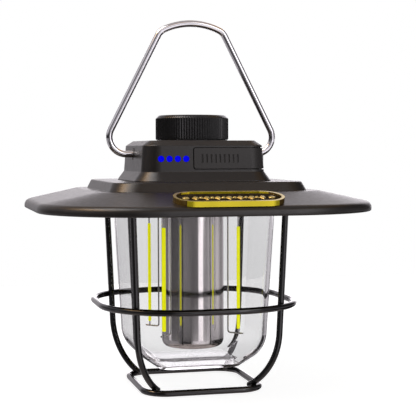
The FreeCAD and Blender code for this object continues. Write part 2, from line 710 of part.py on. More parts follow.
def build_bail():
    body = new_body("bail_handle")
    spine = sketch_on(body, "XZ_Plane")
    lean = math.radians(d.bail_leg_angle.number)
    out = FreeCAD.Vector(math.cos(lean), math.sin(lean), 0)
    bend = d.bail_bend.number
    bend_centre = FreeCAD.Vector(d.bail_bend_centre.number, bail_pivot.number + bend, 0)
    foot_end = FreeCAD.Vector(d.bail_foot_end.number, bail_pivot.number, 0)
    foot_start = FreeCAD.Vector(bend_centre.x, foot_end.y, 0)
    leg_start = bend_centre + out * bend
    # The shoulder's centre lies inside both the leg and the crown's arc
    crown_centre = FreeCAD.Vector(0, bail_top.number - d.bail_crown.number, 0)
    shoulder = d.bail_shoulder.number
    inner_line = leg_start - out * shoulder
    along = FreeCAD.Vector(-math.sin(lean), math.cos(lean), 0)
    reach = d.bail_crown.number - shoulder
    offset = inner_line - crown_centre
    half_b = offset.dot(along)
    travel = -half_b + math.sqrt(half_b ** 2 - offset.dot(offset) + reach ** 2)
    shoulder_centre = inner_line + along * travel
    leg_end = shoulder_centre + out * shoulder
    toward = (shoulder_centre - crown_centre).normalize()
    shoulder_end = shoulder_centre + toward * shoulder
    summit = FreeCAD.Vector(0, bail_top.number, 0)

    def arc(centre, radius, start, end):
        up = FreeCAD.Vector(0, 0, 1)
        begin = math.atan2(start.y - centre.y, start.x - centre.x)
        finish = math.atan2(end.y - centre.y, end.x - centre.x)
        return Part.ArcOfCircle(Part.Circle(centre, up, radius), begin, finish)

    foot = spine.addGeometry(Part.LineSegment(foot_end, foot_start))
    lower = spine.addGeometry(arc(bend_centre, bend, foot_start, leg_start))
    leg = spine.addGeometry(Part.LineSegment(leg_start, leg_end))
    upper = spine.addGeometry(arc(shoulder_centre, shoulder, leg_end, shoulder_end))
    top = spine.addGeometry(arc(crown_centre, d.bail_crown.number, shoulder_end, summit))
    for one, other in ((foot, lower), (lower, leg), (leg, upper), (upper, top)):
        tie(spine, "Tangent", one, 2, other, 1)
    tie(spine, "Horizontal", foot)
    pin_point(spine, foot, 1, d.bail_foot_end, bail_pivot)
    fix(spine, "Radius", lower, size=d.bail_bend)
    fix(spine, "DistanceX", -1, 1, lower, 3, size=d.bail_bend_centre)
    fix(spine, "Radius", upper, size=d.bail_shoulder)
    fix(spine, "Radius", top, size=d.bail_crown)
    tie(spine, "PointOnObject", top, 3, -2)
    pin_point(spine, top, 2, ZERO, bail_top)
    angle = spine.addConstraint(Sketcher.Constraint("Angle", -2, 1, leg, 1, lean))
    spine.renameConstraint(angle, "lean")
    spine.setExpression("Constraints.lean", f"{d.bail_leg_angle.text} * 1deg")
    profile = sketch_on(body, "YZ_Plane", d.bail_foot_end)
    add_circle(profile, d.bail_wire, ZERO, bail_pivot)
    half = pipe(body, profile, spine)
    doc.recompute()
    mirror = body.newObject("PartDesign::Mirrored", "bail_mirror")
    mirror.Originals = [half]
    mirror.MirrorPlane = (next(f for f in body.Origin.OriginFeatures if f.Role == "YZ_Plane"), [""])
    body.Tip = mirror
    keep("bail_handle", body)

    flange_near = inner_half - d.bush_flange_height
    clip_far = flange_near - d.clip_gap
    clips = []
    for side, name in ((-1, "bail_bush_left"), (1, "bail_bush_right")):
        body_bar = side_bar(f"{name}_sleeve", d.bush_radius, side, flange_near, face_at(bail_pivot))
        flange = side_bar(f"{name}_flange", d.bush_flange, side, flange_near, inner_half)
        bore = side_bar(f"{name}_bore", d.bail_wire + d.running_fit, side,
                        flange_near - d.wall, d.box_half + d.wall)
        keep(name, cut(f"{name}_cut", fuse(f"{name}_fuse", [body_bar, flange]), bore))
        disc = side_bar(f"clip_disc{side}", d.clip_radius, side, clip_far - d.clip_height, clip_far)
        hole = side_bar(f"clip_hole{side}", d.bail_wire, side, clip_far - d.wall, clip_far + d.wall)
        clips.append(cut(f"clip{side}", disc, hole))
    keep("bail_clips", group("bail_clips_group", clips))


# Guard

rod_bend_reach = d.rod_top_reach - d.rod_slope * (d.lip_bottom - d.rod_bend_height)
rod_lean = root(d.rod_slope * d.rod_slope + 1)
rod_arc_reach = rod_bend_reach - d.rod_bend / rod_lean
rod_arc_height = d.rod_bend_height + d.rod_bend * d.rod_slope / rod_lean
rod_top = cover_top + d.rod_thread


def rod_reach(height):
    """Distance of a rod's straight stretch from the axis at a height."""
    return d.rod_top_reach + d.rod_slope * (height - d.lip_bottom)


def build_rod(name, turn):
    """One guard rod in the XZ plane, then turned to its corner."""
    body = new_body(name)
    spine = sketch_on(body, "XZ_Plane")
    start = FreeCAD.Vector(rod_reach(rod_top).number, rod_top.number, 0)
    bend_start = FreeCAD.Vector(rod_bend_reach.number, d.rod_bend_height.number, 0)
    centre = FreeCAD.Vector(rod_arc_reach.number, rod_arc_height.number, 0)
    drop = rod_arc_height.number - d.rod_tip_height.number
    begin = math.atan2(bend_start.y - centre.y, bend_start.x - centre.x)
    finish = -math.asin(drop / d.rod_bend.number)
    line = spine.addGeometry(Part.LineSegment(start, bend_start))
    circle = Part.Circle(centre, FreeCAD.Vector(0, 0, 1), d.rod_bend.number)
    arc = spine.addGeometry(Part.ArcOfCircle(circle, finish, begin))
    tie(spine, "Tangent", line, 2, arc, 2)
    pin_point(spine, line, 1, rod_reach(rod_top), rod_top)
    pin_point(spine, line, 2, rod_bend_reach, d.rod_bend_height)
    fix(spine, "Radius", arc, size=d.rod_bend)
    fix(spine, "DistanceY", -1, 1, arc, 1, size=d.rod_tip_height)
    profile = sketch_on(body, "XY_Plane", rod_top)
    add_circle(profile, d.guard_wire, rod_reach(rod_top), ZERO)
    pipe(body, profile, spine)
    body.Placement.Rotation = FreeCAD.Rotation(FreeCAD.Vector(0, 0, 1), turn)
    return keep(name, body)


def build_wire_square(name, height, half, corner):
    """Closed wire with round corners, welded to the rods."""
    body = new_body(name)
    spine = sketch_on(body, "XY_Plane", height)
    add_rounded_square(spine, half, corner)
    profile = sketch_on(body, "YZ_Plane", corner - half)
    add_circle(profile, d.guard_wire, -half, height)
    pipe(body, profile, spine)
    return keep(name, body)


def build_guard():
    for corner, turn in CORNERS.items():
        build_rod(f"guard_rod_{corner}", turn)
    ring_reach = rod_reach(d.ring_height) + d.guard_wire * 2 - d.ring_sink
    ring_half = (ring_reach - d.ring_corner) / SQRT2 + d.ring_corner
    build_wire_square("guard_ring", d.ring_height, ring_half, d.ring_corner)
    drop = rod_arc_height - d.guard_wire
    base_weld = d.rod_bend + d.guard_wire * 2 - d.base_sink
    base_reach = rod_arc_reach + root(base_weld * base_weld - drop * drop)
    base_half = (base_reach - d.base_corner) / SQRT2 + d.base_corner
    build_wire_square("base_frame", d.guard_wire, base_half, d.base_corner)
    nuts = []
    reach = rod_reach(cover_top + d.rod_nut_height / 2)
    for k, (x, y) in enumerate(around(reach)):
        outer = cylinder(f"rod_nut_disc{k}", d.rod_nut_radius, d.rod_nut_height, x, y, cover_top)
        bore = cylinder(f"rod_nut_bore{k}", d.guard_wire + d.fit * 2, d.rod_nut_height, x, y, cover_top)
        nuts.append(cut(f"rod_nut{k}", outer, bore))
    keep("rod_nuts", group("rod_nuts_group", nuts))


# Base cover, shade and lamp plate

def shade_at(height):
    return d.shade_half + d.shade_draft * (height - d.shade_half_height)


def build_base_cover():
    body = new_body("base_cover")
    low_half, low_corner = brim_inside(lip_top - d.wall)
    high_half, high_corner = brim_inside(cover_top)
    loft(body, [(cover_bottom, low_half - d.cover_gap, low_corner - d.cover_gap),
                (cover_top, high_half - d.cover_gap, high_corner - d.cover_gap)])
    square_pocket(body, cover_bottom, d.cover_height, shade_at(cover_top) + d.play,
                  d.shade_corner + d.play)
    round_pocket(body, cover_bottom, d.cover_height, d.screw_radius + d.fit,
                 around(d.cover_screw_reach))
    round_pocket(body, cover_bottom, d.cover_height, d.guard_wire + d.play,
                 around(rod_reach(cover_bottom + d.cover_height / 2)))
    keep("base_cover", body)
    screws("cover_screws", around(d.cover_screw_reach), cover_bottom,
           d.cover_height + d.cover_screw_grip - d.fit)
    screws("housing_screws", around(d.housing_screw_reach), plinth_ceiling,
           d.wall + d.housing_screw_grip - d.fit)


def shade_sections(wall):
    """Sections of the shade's outside, or of its inside by a wall: round the bend, then to the bottom."""
    steps = 6
    start = shade_at(d.shade_bend_height)
    centre = start - d.shade_bend
    radius = d.shade_bend - wall
    bottom = d.shade_bottom + wall
    sections = []
    for k in range(steps + 1):
        turn = d.shade_turn * (k / steps)
        height = d.shade_bend_height - radius * sine(turn)
        half = centre + radius * cosine(turn)
        sections.append((height, half))
    height, half = sections[-1]
    foot = half - (height - bottom) * sine(d.shade_turn) / cosine(d.shade_turn)
    sections.append((bottom, foot))
    rounding = (d.shade_corner - d.shade_bottom_corner) / (start - wall - foot)
    return [(z, h, d.shade_bottom_corner - wall + (h - foot) * rounding) for z, h in sections]


def build_shade():
    body = new_body("shade")
    square_pad(body, cover_top, d.flange_height, d.flange_half, d.flange_corner)
    loft(body, [(cover_top, shade_at(cover_top), d.shade_corner),
                (d.shade_bend_height, shade_at(d.shade_bend_height), d.shade_corner)])
    loft(body, shade_sections(ZERO))
    round_pads(body, d.shade_bottom - d.gate_height, d.gate_height, d.gate_radius, [(ZERO, ZERO)])
    wall = d.shade_wall
    carve(body, [(flange_top, shade_at(flange_top) - wall, d.shade_corner - wall),
                 (d.shade_bend_height, shade_at(d.shade_bend_height) - wall, d.shade_corner - wall)])
    carve(body, shade_sections(wall))
    keep("shade", body)


def build_lamp_plate():
    gasket = new_body("shade_gasket")
    square_pad(gasket, flange_top, d.gasket_height, d.flange_half, d.flange_corner)
    square_pocket(gasket, flange_top, d.gasket_height, shade_at(flange_top) - d.shade_wall,
                  d.shade_corner - d.shade_wall)
    keep("shade_gasket", gasket)
    plate = new_body("lamp_plate")
    square_pad(plate, gasket_top, d.plate_height, d.flange_half, d.flange_corner)
    round_pocket(plate, gasket_top, d.plate_height, d.tube_radius + d.fit, [(ZERO, ZERO)])
    keep("lamp_plate", plate)


# Filaments

def build_lead(name, turn):
    """Thin return wire: a foot under the filament, then a riser up to the lamp plate."""
    body = new_body(name)
    spine = sketch_on(body, "XZ_Plane")
    bend = d.lead_bend.number
    corner = FreeCAD.Vector(d.lead_inner.number, d.lead_height.number, 0)
    foot = spine.addGeometry(Part.LineSegment(FreeCAD.Vector(d.lead_outer.number, corner.y, 0),
                                              FreeCAD.Vector(corner.x + bend, corner.y, 0)))
    centre = FreeCAD.Vector(corner.x + bend, corner.y + bend, 0)
    circle = Part.Circle(centre, FreeCAD.Vector(0, 0, 1), bend)
    arc = spine.addGeometry(Part.ArcOfCircle(circle, math.pi, math.pi * 1.5))
    riser = spine.addGeometry(Part.LineSegment(FreeCAD.Vector(corner.x, corner.y + bend, 0),
                                               FreeCAD.Vector(corner.x, gasket_top.number, 0)))
    tie(spine, "Tangent", foot, 2, arc, 2)
    tie(spine, "Tangent", arc, 1, riser, 1)
    tie(spine, "Horizontal", foot)
    tie(spine, "Vertical", riser)
    pin_point(spine, foot, 1, d.lead_outer, d.lead_height)
    pin_point(spine, riser, 2, d.lead_inner, gasket_top)
    fix(spine, "Radius", arc, size=d.lead_bend)
    profile = sketch_on(body, "YZ_Plane", d.lead_outer)
    add_circle(profile, d.lead_wire, ZERO, d.lead_height)
    pipe(body, profile, spine)
    body.Placement.Rotation = FreeCAD.Rotation(FreeCAD.Vector(0, 0, 1), turn)
    return keep(name, body)


def build_filaments():
    top = d.filament_bottom + d.filament_length
    pins = []
    for corner, turn in CORNERS.items():
        body = new_body(f"filament_{corner}")
        sketch = sketch_on(body, "XY_Plane", d.filament_bottom)
        half_depth, half_width = d.filament_depth / 2, d.filament_width / 2
        add_rectangle(sketch, d.filament_reach - half_depth, d.filament_reach + half_depth,
                      -half_width, half_width)
        pad(body, sketch, d.filament_length)
        body.Placement.Rotation = FreeCAD.Rotation(FreeCAD.Vector(0, 0, 1), turn)
        keep(f"filament_{corner}", body)
        build_lead(f"filament_lead_{corner}", turn)
        across = round(math.cos(math.radians(turn)), 12)
        along = round(math.sin(math.radians(turn)), 12)
        x, y = d.filament_reach * across, d.filament_reach * along
        pins.append(cylinder(f"pin_low_{corner}", d.lead_wire, d.filament_bottom - d.lead_height,
                             x, y, d.lead_height))
        pins.append(cylinder(f"pin_high_{corner}", d.lead_wire, gasket_top - top, x, y, top))
    keep("filament_pins", group("filament_pins_group", pins))


# Tube and cell

def build_tube():
    inner = d.tube_radius - d.tube_wall
    body = turned("battery_tube", [
        (ZERO, d.tube_bottom), (d.tube_radius, d.tube_bottom), (d.tube_radius, plate_top),
        (d.tube_flange, plate_top), (d.tube_flange, tube_top), (inner, tube_top),
        (inner, d.tube_bottom + d.tube_wall), (ZERO, d.tube_bottom + d.tube_wall)])
    for radius, height, rounding in (
            (inner, d.tube_bottom + d.tube_wall, d.tube_round - d.tube_wall),
            (d.tube_radius, d.tube_bottom, d.tube_round)):
        doc.recompute()
        names = []
        for i, edge in enumerate(body.Shape.Edges, start=1):
            if abs(edge.BoundBox.ZMax - height.number) < 0.01:
                if abs(edge.BoundBox.XMax - radius.number) < 0.01:
                    names.append(f"Edge{i}")
        fillet(body, names, rounding)
    keep("battery_tube", body)

    pad_bottom = d.tube_bottom + d.tube_wall
    pad_top = pad_bottom + d.pad_height
    cell_bottom = pad_top + d.tab_height
    cell_top = cell_bottom + d.cell_length
    pad_radius = inner - d.fit - d.tube_round + d.tube_wall
    keep("cell_pad", cylinder("cell_pad_disc", pad_radius, d.pad_height, z=pad_bottom))
    keep("battery_cell", cylinder("battery_cell_can", d.cell_radius, d.cell_length, z=cell_bottom))
    low_tab = cylinder("cell_tab_low", d.tab_radius, d.tab_height, z=pad_top)
    high_tab = cylinder("cell_tab_high", d.tab_radius, d.tab_height, z=cell_top)
    keep("cell_tabs", group("cell_tabs_group", [low_tab, high_tab]))
    sleeve_top = cell_top + d.wall
    sleeve_outer = d.cell_radius + d.fit + d.sleeve_wall
    keep("cell_sleeve", turned_ring("cell_sleeve", d.cell_radius + d.fit, sleeve_outer,
                                    pad_top, sleeve_top))
    leads = []
    for side in (-1, 1):
        leads.append(cylinder(f"cell_lead{side}", d.cell_lead, board_bottom - cell_top - d.tab_height,
                              d.cell_lead_reach * side, ZERO, cell_top + d.tab_height))
    keep("cell_leads", group("cell_leads_group", leads))


# Nameplate

def add_stadium(sketch, half, radius):
    """Straight sides with half-round ends, about the origin."""
    flat = half - radius
    up = FreeCAD.Vector(0, 0, 1)
    first = sketch.GeometryCount
    sketch.addGeometry(Part.LineSegment(FreeCAD.Vector(-flat.number, -radius.number, 0),
                                        FreeCAD.Vector(flat.number, -radius.number, 0)))
    right = Part.Circle(FreeCAD.Vector(flat.number, 0, 0), up, radius.number)
    sketch.addGeometry(Part.ArcOfCircle(right, -math.pi / 2, math.pi / 2))
    sketch.addGeometry(Part.LineSegment(FreeCAD.Vector(flat.number, radius.number, 0),
                                        FreeCAD.Vector(-flat.number, radius.number, 0)))
    left = Part.Circle(FreeCAD.Vector(-flat.number, 0, 0), up, radius.number)
    sketch.addGeometry(Part.ArcOfCircle(left, math.pi / 2, math.pi * 1.5))
    for k in range(4):
        tie(sketch, "Tangent", first + k, 2, first + (k + 1) % 4, 1)
    tie(sketch, "Horizontal", first)
    fix(sketch, "Radius", first + 1, size=radius)
    pin_point(sketch, first + 1, 3, flat, ZERO)
    fix(sketch, "DistanceX", first + 3, 3, -1, 1, size=flat)


def build_nameplate():
    body = new_body("nameplate")
    base = sketch_on(body, "XY_Plane")
    add_stadium(base, d.name_half, d.name_depth / 2)
    pad(body, base, d.name_height)
    field = sketch_on(body, "XY_Plane", d.name_height)
    add_stadium(field, d.name_half - d.name_rim, d.name_depth / 2 - d.name_rim)
    pocket(body, field, d.name_sink)
    holes = sketch_on(body, "XY_Plane")
    for side in (-1, 1):
        add_circle(holes, d.rivet_shank + d.fit, d.rivet_reach * side, ZERO)
    pocket(body, holes, d.name_height, reverse=True)
    slope_frame(keep("nameplate", body))
    rivets = []
    floor = d.name_height - d.name_sink
    for side in (-1, 1):
        head = cylinder(f"rivet_head{side}", d.rivet_head, d.rivet_head_height,
                        d.rivet_reach * side, ZERO, floor)
        shank = cylinder(f"rivet_shank{side}", d.rivet_shank, floor + d.wall,
                         d.rivet_reach * side, ZERO, -d.wall)
        rivets.append(fuse(f"rivet{side}", [head, shank]))
    slope_frame(keep("nameplate_rivets", group("nameplate_rivets_group", rivets)))


def check_all():
    """Stop before writing if any object failed or any part's shape is not sound."""
    for thing in doc.Objects:
        if "Invalid" in thing.State or "Error" in thing.State:
            raise RuntimeError(f"{thing.Label} failed: {thing.State}")
    for name, thing in parts.items():
        if thing.Shape.isNull() or not thing.Shape.isValid() or not thing.Shape.Solids:
            raise RuntimeError(f"{name} has no sound shape")


build_hat_brim()
build_top_housing()
build_port_cover()
build_socket()
build_indicator()
build_board()
build_dimmer()
build_bail()
build_guard()
build_base_cover()
build_shade()
build_lamp_plate()
build_filaments()
build_tube()
build_nameplate()
doc.recompute()
check_all()

os.makedirs("parts", exist_ok=True)
for name, thing in parts.items():
    thing.Shape.exportStep(os.path.join("parts", f"{name}.step"))
    solids = thing.Shape.Solids
    print(f"{name}: {len(solids)} solids, {sum(s.Volume for s in solids):.1f} mm3")
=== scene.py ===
import json
import math

import bmesh
import bpy
from bpy.props import FloatProperty, FloatVectorProperty, IntProperty, PointerProperty
from mathutils import Euler, Matrix, Vector


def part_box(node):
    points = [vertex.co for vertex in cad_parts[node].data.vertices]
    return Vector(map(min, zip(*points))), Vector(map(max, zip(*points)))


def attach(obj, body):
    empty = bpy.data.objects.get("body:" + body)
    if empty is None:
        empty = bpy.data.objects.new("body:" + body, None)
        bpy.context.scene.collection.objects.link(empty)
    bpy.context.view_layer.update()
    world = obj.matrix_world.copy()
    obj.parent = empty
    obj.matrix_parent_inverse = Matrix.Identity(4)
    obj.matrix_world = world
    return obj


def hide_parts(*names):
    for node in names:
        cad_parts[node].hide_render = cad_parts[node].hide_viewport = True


bl_info = {
    "name": "Camp lantern",
    "version": (1, 0, 0),
    "blender": (4, 5, 0),
    "location": "3D View > Sidebar > Lantern",
    "description": "Models a wire-guarded camp lantern round its packed frame",
    "category": "Object",
}

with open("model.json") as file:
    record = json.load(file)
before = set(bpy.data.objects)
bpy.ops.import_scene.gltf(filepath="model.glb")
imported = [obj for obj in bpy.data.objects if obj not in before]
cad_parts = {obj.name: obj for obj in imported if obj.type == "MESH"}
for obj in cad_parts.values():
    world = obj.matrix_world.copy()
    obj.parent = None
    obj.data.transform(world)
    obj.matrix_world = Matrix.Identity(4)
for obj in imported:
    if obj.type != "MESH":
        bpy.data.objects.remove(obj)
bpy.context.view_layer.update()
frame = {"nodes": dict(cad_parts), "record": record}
CORNERS = {"front_left": 225, "front_right": 315, "back_right": 45, "back_left": 135}
MM = 0.001
NEAR = 1e-5  # points closer than this count as level or in line
MERGE = 1e-6  # points closer than this become one
RING_APART = 0.02  # between rings while they are bridged, so that rings on one level don't twist
FULL_CORNER = 0.9995  # largest share of a ring's half width that its corners take
SHELL_STEPS = 18  # segments of a corner of the moulded shells


def length(name, description, millimetres):
    """A length property."""
    return FloatProperty(name=name, description=description, default=millimetres * MM,
                         min=0.0, unit="LENGTH", subtype="DISTANCE", precision=5)


def colour(name, description, red, green, blue):
    """A colour property."""
    return FloatVectorProperty(name=name, description=description, default=(red, green, blue),
                               min=0.0, max=1.0, size=3, subtype="COLOR")


def turn_angle(name, description, degrees):
    """An angle property."""
    return FloatProperty(name=name, description=description, default=math.radians(degrees),
                         unit="ROTATION", subtype="ANGLE")


def ratio(name, description, share):
    """A property between 0 and 1."""
    return FloatProperty(name=name, description=description, default=share,
                         min=0.0, max=1.0, subtype="FACTOR", precision=4)


# Sizes and colours

class HatSizes(bpy.types.PropertyGroup):
    """Hat brim and plinth"""
    lip: length("Lip height", "Height of the brim's upright edge", 3.2)
    slope: length("Slope height", "Rise of the brim from its lip to the ledge", 4.4)
    brim_half: length("Brim half width", "Half of the brim's width", 63.0)
    brim_corner: length("Brim corner", "Corner radius of the brim", 41.1)
    ledge_half: length("Ledge half width", "Half of the ledge round the plinth", 42.0)
    ledge_corner: length("Ledge corner", "Corner radius of the ledge", 15.0)
    plinth_half: length("Plinth half width", "Half of the plinth's foot", 37.35)
    plinth_corner: length("Plinth corner", "Corner radius of the plinth's foot", 10.5)
    plinth_top_half: length("Plinth top half width", "Half of the plinth's top", 35.75)
    plinth_top_corner: length("Plinth top corner", "Corner radius of the plinth's top", 10.3)
    lip_top_round: length("Lip top edge", "Rounding of the lip's upper edge", 3.0)
    lip_bottom_round: length("Lip bottom edge", "Rounding of the lip's lower edge", 0.8)
    roof_hole: length("Roof hole", "Half width of the hole under the box", 18.5)
    wall: length("Wall", "Thickness of the moulded shells", 1.8)


class BoxSizes(bpy.types.PropertyGroup):
    """Upper box and flap"""
    flare_half: length("Skirt half width", "Half of the skirt's foot", 26.5)
    flare_corner: length("Skirt corner", "Corner radius of the skirt's foot", 9.3)
    flare: length("Skirt height", "Height of the flared skirt", 3.6)
    low_half: length("Box half width", "Half of the box above the skirt", 23.8)
    low_corner: length("Box corner", "Corner radius of the box above the skirt", 6.5)
    height: length("Box height", "Height of the box's upright sides", 9.8)
    top_half: length("Box top half width", "Half of the box below its bevelled roof", 23.1)
    top_corner: length("Box top corner", "Corner radius of the box's top", 6.2)
    crown_half: length("Crown half width", "Half of the flat roof", 20.3)
    crown_corner: length("Crown corner", "Corner radius of the flat roof", 3.8)
    crown: length("Crown height", "Height of the bevelled roof edge", 1.9)
    flap_left: length("Flap reach", "Distance of the flap's left edge from the middle", 4.85)
    flap_end: length("Flap end", "Distance of the flap's end on the right side from the middle", 15.5)
    flap_rise: length("Flap rise", "Height of the flap above the skirt", 1.1)
    flap_height: length("Flap height", "Height of the flap", 7.8)
    flap_thickness: length("Flap thickness", "Thickness of the flap", 1.2)
    seam: length("Seam", "Gap round the flap", 0.3)
    light_radius: length("Light radius", "Radius of a charge light's hole", 1.2)
    bush_radius: length("Bush radius", "Radius of the holes for the bail's bushes", 2.32)


class KnobSizes(bpy.types.PropertyGroup):
    """Knob"""
    ribs: IntProperty(name="Ribs", description="Number of grip ribs round the knob", default=88,
                      min=12, max=200)
    groove: length("Groove depth", "Depth of the grooves between the ribs", 0.32)
    edge: length("Edge", "Size of the bevel round the knob's top", 1.1)
    wall: length("Wall", "Thickness of the knob's shell", 2.0)


class WireSizes(bpy.types.PropertyGroup):
    """Bail and guard wires"""
    bail: length("Bail wire", "Radius of the bail's wire", 1.3)
    bail_bend: length("Bail bend", "Radius of the bend above each pivot", 6.6)
    bail_bend_reach: length("Bail bend reach", "Distance of that bend's centre from the middle", 26.0)
    bail_lean: turn_angle("Bail lean", "Lean of the bail's legs", 27.1)
    bail_shoulder: length("Bail shoulder", "Radius of the bend above each leg", 5.0)
    bail_crown: length("Bail crown", "Radius of the bail's top", 26.0)
    guard: length("Guard wire", "Radius of the guard's wires", 1.2)
    rod_reach: length("Rod reach", "Distance of the rods from the middle under the hat", 40.9)
    rod_slope: ratio("Rod slope", "Reach that a rod gains for each unit of height", 0.0533)
    rod_bend: length("Rod bend", "Radius of the bend at a rod's foot", 25.4)
    rod_bend_height: length("Rod bend height", "Height where a rod starts to bend", 22.8)
    rod_tip: length("Rod tip", "Height of a rod's end", 1.7)
    ring_height: length("Ring height", "Height of the guard ring", 33.2)
    ring_corner: length("Ring corner", "Corner radius of the guard ring", 29.3)
    base_corner: length("Base corner", "Corner radius of the base frame", 9.0)


class ShadeSizes(bpy.types.PropertyGroup):
    """Shade"""
    half: length("Half width", "Half of the shade's width at its gauge height", 28.25)
    gauge: length("Gauge height", "Height where that width is measured", 63.6)
    draft: ratio("Draft", "Half width gained for each unit of height", 0.0514)
    corner: length("Corner", "Corner radius of the walls", 14.0)
    wall: length("Wall", "Thickness of the wall", 1.6)
    bend: length("Bend", "Radius of the shoulder", 11.7)
    bend_height: length("Bend height", "Height where the wall starts to bend", 22.0)
    bend_turn: turn_angle("Bend turn", "How far the shoulder turns", 55.0)
    bottom_corner: length("Bottom corner", "Corner radius of the flat bottom", 5.0)
    flange_half: length("Flange half width", "Half of the flange under the hat", 31.0)
    flange_corner: length("Flange corner", "Corner radius of the flange", 16.0)
    flange: length("Flange height", "Thickness of the flange", 1.5)
    gate: length("Gate radius", "Radius of the moulding mark under the bottom", 1.9)
    gate_height: length("Gate height", "Height of the moulding mark", 0.4)


class LampSizes(bpy.types.PropertyGroup):
    """Tube and filaments"""
    tube: length("Tube radius", "Radius of the steel tube", 12.15)
    tube_round: length("Tube edge", "Rounding of the tube's bottom edge", 3.6)
    tube_wall: length("Tube wall", "Thickness of the tube", 0.8)
    tube_flange: length("Tube flange", "Radius of the tube's flange", 15.0)
    tube_flange_height: length("Tube flange height", "Thickness of the tube's flange", 1.0)
    filament_reach: length("Filament reach", "Distance of the filaments from the middle", 20.6)
    filament_width: length("Filament width", "Width of a filament", 1.5)
    filament_depth: length("Filament depth", "Depth of a filament", 0.9)


class PlateSizes(bpy.types.PropertyGroup):
    """Nameplate"""
    half: length("Half length", "Half of the plate's length", 19.8)
    depth: length("Depth", "Depth of the plate up the brim's slope", 14.6)
    height: length("Height", "Thickness of the plate", 1.95)
    sink: length("Sink", "Depth of the dark field", 0.7)
    rim: length("Rim", "Width of the raised rim", 1.1)
    reach: length("Reach", "Distance of the plate from the lantern's middle", 55.0)
    rivet_reach: length("Rivet reach", "Distance of the rivets from the plate's middle", 15.4)
    rivet: length("Rivet radius", "Radius of a rivet's head", 1.3)
    rivet_height: length("Rivet height", "Height of a rivet's head", 0.5)


class Finishes(bpy.types.PropertyGroup):
    """Colours"""
    housing: colour("Housing", "Moulded hat and box", 0.0145, 0.0118, 0.0102)
    knob: colour("Knob", "Ribbed knob", 0.006, 0.0055, 0.0055)
    flap: colour("Flap", "Rubber port flap", 0.017, 0.0142, 0.0125)
    wire: colour("Wire", "Coated guard wires", 0.003, 0.003, 0.003)
    chrome: colour("Chrome", "Polished bail", 0.82, 0.82, 0.84)
    tube: colour("Tube", "Polished tube", 0.76, 0.73, 0.71)
    shade: colour("Shade", "Clear shade", 0.84, 0.84, 0.845)
    filament: colour("Filament", "Lit filament", 0.66, 0.66, 0.004)
    brass: colour("Brass", "Nameplate's polished edge", 0.88, 0.72, 0.02)
    # Painted shade and relief colour: a darker copy of the brass for the up-facing rim, also used for the
    # beads, lozenges and rivets
    antique_and_painted_shade: colour("Antique brass and painted shade", "Nameplate's rim, beads and rivets", 0.62, 0.46, 0.13)
    # Painted shade: a dark brown copy of the brass for the plate's round ends, which face sideways
    painted_end_shade: colour("Painted end shade brass", "Nameplate's round ends", 0.2, 0.12, 0.025)
    field: colour("Field", "Nameplate's dark ground", 0.028, 0.02, 0.012)
    light: colour("Charge light", "Lit charge lights", 0.0, 0.0, 0.75)
    floor: colour("Floor", "Studio floor", 0.45, 0.45, 0.45)


# Levels taken from the packed frame

LIP_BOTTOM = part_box("hat_brim")[0].z
PLINTH_TOP, CROWN = (corner.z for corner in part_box("top_housing"))
KNOB_LOW, KNOB_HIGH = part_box("dimmer_knob")
BAIL_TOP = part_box("bail_handle")[1].z
BAIL_PIVOT = sum(corner.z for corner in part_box("bail_clips")) / 2
ROD_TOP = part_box("guard_rod_front_left")[1].z
SHADE_LOW, SHADE_HIGH = (corner.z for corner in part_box("shade"))
TUBE_LOW, TUBE_HIGH = (corner.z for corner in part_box("battery_tube"))
FILAMENT_LOW, FILAMENT_HIGH = (corner.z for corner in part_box("filament_front_left"))
PORT = sum(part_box("usb_socket"), Vector()) / 2
GUIDE_LOW, GUIDE_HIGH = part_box("indicator_guide")
RING_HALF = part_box("guard_ring")[1].x
BASE_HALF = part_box("base_frame")[1].x


# Modelling by hand: rings, skins, wires

def all_free():
    """Leave edit mode with nothing selected."""
    if bpy.context.object and bpy.context.object.mode != "OBJECT":
        bpy.ops.object.mode_set(mode="OBJECT")
    bpy.ops.object.select_all(action="DESELECT")


def pick(*pieces):
    """Select these pieces alone, with the first one active."""
    all_free()
    for piece in pieces:
        piece.select_set(True)
    bpy.context.view_layer.objects.active = pieces[0]


def edit_all():
    """Open the active mesh for editing, all of it selected."""
    bpy.ops.object.mode_set(mode="EDIT")
    bpy.ops.mesh.select_all(action="SELECT")


def named(name):
    """The active object, with its name."""
    piece = bpy.context.object
    piece.name = piece.data.name = name
    return piece


def applied(piece):
    """The piece, with its place, turn and scale taken into its mesh."""
    pick(piece)
    bpy.ops.object.transform_apply(location=True, rotation=True, scale=True)
    return piece


def tidy(piece):
    """Merge doubles, turn the faces outwards and leave edit mode."""
    edit_all()
    bpy.ops.mesh.remove_doubles(threshold=MERGE)
    bpy.ops.mesh.normals_make_consistent(inside=False)
    bpy.ops.object.mode_set(mode="OBJECT")
    piece.vertex_groups.clear()


def extrude(move):
    """Extrude what is selected."""
    bpy.ops.mesh.extrude_region_move(TRANSFORM_OT_translate={"value": move})


def empty_mesh(name):
    """An empty mesh object at the origin, open for editing."""
    all_free()
    bpy.ops.mesh.primitive_plane_add(size=0.01)
    piece = named(name)
    edit_all()
    bpy.ops.mesh.delete(type="VERT")
    return piece


def square_ring(half, corner, height, steps):
    """A rounded square on a level, kept as a vertex group of its own."""
    bpy.ops.mesh.select_all(action="DESELECT")
    bpy.ops.mesh.primitive_plane_add(size=half * 2, location=(0, 0, height))
    bpy.ops.mesh.bevel(offset=min(corner, half * FULL_CORNER), segments=steps, affect="VERTICES",
                       profile=0.5)
    bpy.ops.object.vertex_group_assign_new()
    bpy.ops.mesh.delete(type="ONLY_FACE")


def pick_rings(piece, *numbers):
    """Select the rings with these numbers alone."""
    bpy.ops.mesh.select_all(action="DESELECT")
    for number in numbers:
        piece.vertex_groups.active_index = number
        bpy.ops.object.vertex_group_select()


